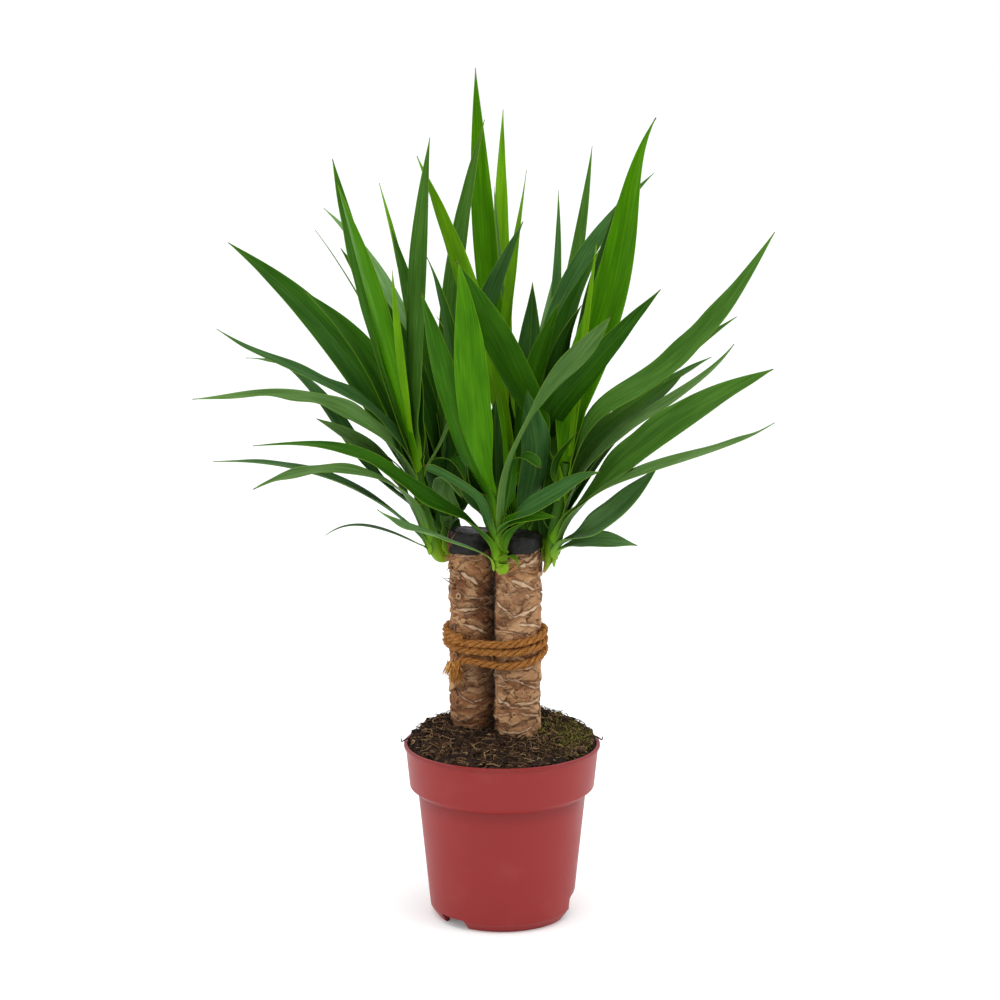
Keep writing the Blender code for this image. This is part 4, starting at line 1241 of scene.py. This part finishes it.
def leafMaterial(tone):  # a living leaf, waxy cuticle: satin, fine veins along it, a pale hard edge
    blade, streaks = leaf["tones"][tone]
    material, tree, shader = newMaterial(
        f"yuccaLeaf{tone.capitalize()}", {"IOR": 1.42, "Specular IOR Level": 0.06}
    )
    across, edge, along, tip, seed = (
        addNode(tree, "Attribute", attribute_name=name).outputs["Fac"]
        for name in ("acrossMm", "edgeMm", "alongMm", "tipMm", "leafSeed")
    )
    place = addNode(tree, "CombineXYZ", {"X": across, "Y": along, "Z": seed})
    lengthwise = addNode(tree, "Mapping", {"Vector": place, "Scale": (0.9, 0.022, 9.0)})
    # real veins are 0.3 mm apart: drawn at about 1 mm, so that they show
    veins = addNode(tree, "TexNoise", {"Vector": lengthwise, "Scale": 1.0, "Detail": 3.0})
    broad = addNode(tree, "Mapping", {"Vector": place, "Scale": (0.09, 0.018, 5.0)})
    cloud = addNode(tree, "TexNoise", {"Vector": broad, "Scale": 1.0, "Detail": 2.0})
    fromRib = addNode(tree, "Math", {0: across}, operation="ABSOLUTE")
    inPlace = addNode(tree, "TexCoord").outputs["Object"]
    height = addNode(tree, "SeparateXYZ", {"Vector": inPlace}).outputs["Z"]
    colour = layered(tree, fromHex(blade), [(veins, 0.3, 0.75, 1.0, streaks)])
    colour = layered(tree, colour, [(cloud, 0.35, 0.7, 0.45, "#9fb59a")], blend="MULTIPLY")
    layers = (
        (fromRib, 0.9, 0.1, 0.07, "#7fa824"),  # the midrib
        (along, 30.0, 2.0, 0.75, "#62920f"),  # the pale root
        (height, 0.33, 0.305, 0.7, "#86a828"),  # paler still low on the cane
        (edge, 0.6, 0.15, 0.3, "#8cac2c"),  # the hard edge
        (tip, 4.0, 1.0, 0.85, "#4a4220"),  # the dry tip
    )
    colour = layered(tree, colour, layers)
    gloss = {"Value": cloud, "From Min": 0.3, "From Max": 0.7, "To Min": 0.36, "To Max": 0.48}
    gloss = addNode(tree, "MapRange", gloss, interpolation_type="SMOOTHSTEP")
    bump = addNode(tree, "Bump", {"Height": veins, "Strength": 0.35, "Distance": 0.0004})
    setInputs(shader, {"Base Color": colour, "Roughness": gloss, "Normal": bump})
    return material


leafMaterials = {tone: leafMaterial(tone) for tone in leaf["tones"]}


def leafLine(shoot, share, width, places):  # the midrib from the end of its sheath, and how it lies
    stem = smoothLine(shoot["line"], 41)
    at = round(share * 40)
    heading = unit((np.array(places[0], float) - stem[at]) * (1, 1, 0))
    stemRadius = np.interp(share, *np.transpose(shoot["girth"]))
    down = unit(stem[max(at - 2, 0)] - stem[min(at + 2, 40)])
    root = stem[at] + heading * (stemRadius + leaf["offset"])  # on the side that the leaf heads for
    reach = leaf["sheath"] * min(1.0, width / 20)
    sheath = root + down * reach * np.linspace(1, 0.14, 6)[:, None]
    line = np.concatenate([sheath, smoothLine([root, *places], leaf["stations"])])
    soften(line, 3, 12, 5)
    t = np.concatenate([np.linspace(-0.06, -0.006, 6), np.linspace(0, 1, leaf["stations"])])
    along = unit(np.gradient(line, axis=0))
    inward = unit(stem[-1] + (0, 0, 600) - line)  # the blade faces up and in, the sheath the stem
    face = unit(inward - along * (inward * along).sum(-1, keepdims=True))
    clasp = ramp(t, 0.08, -0.02)[:, None]
    face = unit(face * (1 - clasp) + unit(stem[at] - root) * clasp)
    face = unit(face - along * (face * along).sum(-1, keepdims=True))
    return line, t, np.cross(along, face), face, stemRadius


def makeLeaf(name, shoot, share, row, seed, *nodes):
    tone, wave, width, roll, tipRoll, *places = row[1:]
    width, *outline = width if isinstance(width, tuple) else (width, *leaf["outline"])
    line, t, side, face, stemRadius = leafLine(shoot, share, width, places)
    late = np.clip((t - 0.35) / 0.65, 0, 1)
    turn = np.radians((roll + (tipRoll - roll) * late) * eased(t / 0.35))[:, None]
    side, face = side * np.cos(turn) + face * np.sin(turn), face * np.cos(turn) - side * np.sin(turn)

    half = width / 2 * widthShare(np.maximum(t, 0), *outline)
    half = half * (1 + 0.5 * ramp(t, 0, -0.06)) * np.sqrt(np.clip((t + 0.063) / 0.035, 0.04, 1))
    bow = np.interp(t, *np.transpose([(0, stemRadius + 2.2), *leaf["bow"]]))[:, None]
    columns = leaf["across"] + 1  # an odd number, so that one runs along the midrib
    across = np.linspace(-1, 1, columns)
    half = half[:, None]
    swing = across * half / bow
    crease = leaf["fold"] * np.clip(t / 0.3, 0, 1)[:, None] * half
    lift = bow * (1 - np.cos(swing)) + crease * (np.sqrt(across**2 + 0.01) - 0.1)
    lengths = lengthsAlong(line)
    ripples = [  # each edge waves in its own way
        np.sin(lengths / 15 + seed * 9 + 3 * np.sin(lengths / 37 + seed)),
        np.sin(lengths / 17 + seed * 5 + 2 + 3 * np.sin(lengths / 41 + 2 * seed)),
    ]
    wavy = np.where(across < 0, ripples[0][:, None], ripples[1][:, None]) * across**2
    fade = np.clip(t / 0.2, 0, 1) * np.clip((1 - t) / 0.12, 0, 1)
    lift = (lift + wave * 0.8 * wavy * fade[:, None])[..., None]
    points = line[:, None] + side[:, None] * (bow * np.sin(swing))[..., None] + face[:, None] * lift
    mesh = gridMesh(name, points)
    addValues(mesh, acrossMm=across * half, edgeMm=(1 - np.abs(across)) * half)
    addValues(mesh, alongMm=np.repeat(lengths, columns), tipMm=np.repeat(lengths[-1] - lengths, columns))
    addValues(mesh, leafSeed=np.full(points.shape[:2], seed))
    piece = addPiece(name, mesh, leafMaterials[tone], "leaf_green", *nodes)
    solid = piece.modifiers.new("Thickness", "SOLIDIFY")
    solid.thickness = leaf["thickness"] * mm
    solid.offset = 0.0


def stemMaterial():  # the fleshy stem under the leaf bases: lime, corky where it leaves the cane
    sockets = {"Roughness": 0.42, "IOR": 1.42, "Specular IOR Level": 0.2}
    material, tree, shader = newMaterial("yuccaShoot", sockets)
    along, cork = (
        addNode(tree, "Attribute", attribute_name=name).outputs["Fac"] for name in ("alongMm", "cork")
    )
    place = addNode(tree, "TexCoord").outputs["Object"]
    cloud = addNode(tree, "TexNoise", {"Vector": place, "Scale": 160.0, "Detail": 3.0})
    share = {"Value": along, "From Max": 60.0}
    share = addNode(tree, "MapRange", share, interpolation_type="SMOOTHSTEP")
    stops = ((0.0, "#7a9a1a"), (0.12, "#5c850d"), (0.35, "#416f08"), (0.8, "#315a07"))
    colour = addNode(tree, "ValToRGB", {"Fac": share}, stops=stops)
    tan = addNode(tree, "Math", {0: cork, 1: cloud}, operation="ADD")
    colour = layered(tree, colour, [(tan, 0.75, 1.15, 1.0, "#b58a5a")])
    bump = addNode(tree, "Bump", {"Height": cloud, "Strength": 0.4, "Distance": 0.0006})
    setInputs(shader, {"Base Color": colour, "Normal": bump})
    return material


def makeStem(name, shoot, material):  # it leaves the cane's side, swells to a bulb and rises
    rise = smoothLine(shoot["line"], 60)
    start = np.array(shoot["joint"], float)
    line = np.concatenate([[start, (start + rise[0]) / 2 - (0, 0, 1.2)], rise])
    soften(line, 1, 12, 6)
    share = np.concatenate([[-0.06, -0.03], np.linspace(0, 1, 60)])
    radii = np.interp(share, *np.transpose(shoot["girth"])) * (1 + 0.025 * ((share * 16) % 1.0))
    radii[:5] *= (0.3, 0.6, 0.82, 0.92, 0.97)  # rounded off where it comes out of the bark
    points = rings(line, radii, 28)
    mesh = gridMesh(name, points, wrap=True)
    fromCane = np.min([np.hypot(*(points[..., :2] - place).T) for place in canePlaces.values()], axis=0).T
    cork = ramp(fromCane, canes["girthRadius"] + 6, canes["girthRadius"]) * ramp(points[..., 2], 318, 310)
    addValues(mesh, cork=cork, alongMm=np.repeat(np.clip(share, 0, 1) * 100, 28))
    addPiece(f"stem{name.capitalize()}", mesh, material, "shoot_green", f"shoot_{name}")


stemGreen = stemMaterial()
for name, shoot in shoots.items():
    makeStem(name, shoot, stemGreen)
    total = sum(row[0] == "cad" for row in shoot["leaves"])
    number = youngNumber = 0
    for row in shoot["leaves"]:
        seed = (len(bpy.data.objects) * 0.618) % 1.0 * 7
        if row[0] == "cad":
            share = leaf["lowest"] + leaf["spread"] * number / (total - 1)
            number += 1
            label = f"leaf{name.capitalize()}{number:02d}"
            makeLeaf(label, shoot, share, row, seed, f"leaf_{name}_{number:02d}")
        else:
            share = leaf["lowest"] + leaf["spread"] * (number - 0.5) / (total - 1)
            youngNumber += 1
            label = f"youngLeaf{name.capitalize()}{youngNumber:02d}"
            makeLeaf(label, shoot, float(np.clip(share, 0.05, 0.98)), row, seed)
print("leaves made")


stage = {  # the camera in metres and degrees, and the studio's light
    "floorRadius": 60.0,
    "floorTone": "#f3f7f7",
    "floorGlow": 0.14,
    "cameraAway": 1.982,
    "cameraHeight": 0.7065,
    "pitch": 9.78,
    "lens": 85.0,
    "sensor": 36.0,
    "shift": -0.002,
    "worldTop": 1.25,
    "worldSide": 0.95,
    "worldFront": 0.35,
    "softboxes": (  # name, place, what it aims at, size, power
        ("topSoftbox", (0.2, -0.5, 2.4), (0, 0, 0.4), (1.6, 1.6), 22),
        ("leftSoftbox", (-2.0, -0.9, 1.2), (0, 0, 0.3), (0.9, 1.8), 9),
        ("rightSoftbox", (2.0, -0.7, 1.1), (0, 0, 0.3), (0.9, 1.8), 9),
    ),
}


def makeFloor():
    shape = bmesh.new()
    bmesh.ops.create_circle(shape, cap_ends=True, segments=96, radius=stage["floorRadius"])
    mesh = bpy.data.meshes.new("floor")
    shape.to_mesh(mesh)
    shape.free()
    sockets = {"Roughness": 0.8, "Specular IOR Level": 0.1, "Base Color": fromHex(stage["floorTone"])}
    sockets |= {"Emission Color": (1, 1, 1, 1), "Emission Strength": stage["floorGlow"]}
    mesh.materials.append(newMaterial("paperSweep", sockets)[0])
    floor = addObject("floor", mesh)
    floor.location = (potAxis.x, potAxis.y, 0)
    floor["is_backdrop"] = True


def makeWorld():  # a white tent, brightest above and dim behind the camera
    world = bpy.data.worlds.new("studio")
    bpy.context.scene.world = world
    world.use_nodes = True
    tree = world.node_tree
    direction = addNode(tree, "TexCoord").outputs["Generated"]
    axes = addNode(tree, "SeparateXYZ", {"Vector": direction}).outputs
    parts = []
    for axis, low, high, first, last in (
        ("Z", -0.1, 0.9, stage["worldSide"], stage["worldTop"]),
        ("Y", -0.95, -0.2, stage["worldFront"], 1.0),
    ):
        inputs = {"Value": axes[axis], "From Min": low, "From Max": high, "To Min": first, "To Max": last}
        parts.append(addNode(tree, "MapRange", inputs, interpolation_type="SMOOTHSTEP"))
    light = addNode(tree, "Math", {0: parts[0], 1: parts[1]}, operation="MULTIPLY")
    seen = addNode(tree, "LightPath").outputs["Is Camera Ray"]
    strength = addNode(tree, "Mix", {0: seen, 2: light, 3: 1.0}, data_type="FLOAT")
    setInputs(tree.nodes["Background"], {"Color": (1, 1, 1, 1), "Strength": strength})


def addSoftbox(name, place, aim, size, power):
    light = bpy.data.lights.new(name, "AREA")
    light.shape = "RECTANGLE"
    light.size, light.size_y = size
    light.energy = power
    lamp = addObject(name, light)
    lamp.location = potAxis + Vector(place)
    lamp.rotation_euler = (Vector(aim) - Vector(place)).to_track_quat("-Z", "Y").to_euler()


def makeCamera():
    camera = bpy.data.cameras.new("camera")
    camera.lens = stage["lens"]
    camera.sensor_width = stage["sensor"]
    camera.shift_x = stage["shift"]
    camera.clip_end = 200.0
    viewer = addObject("camera", camera)
    viewer.location = potAxis + Vector((0, -stage["cameraAway"], stage["cameraHeight"]))
    viewer.rotation_euler = (math.radians(90 - stage["pitch"]), 0, 0)
    bpy.context.scene.camera = viewer


makeFloor()
makeWorld()
for softbox in stage["softboxes"]:
    addSoftbox(*softbox)
makeCamera()
bpy.context.scene.view_settings.view_transform = "Standard"
print("stage made")

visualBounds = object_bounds()
boxes = {"cad": cadBounds, "visual": visualBounds}
{name: [list(corner) for corner in box] for name, box in boxes.items()}
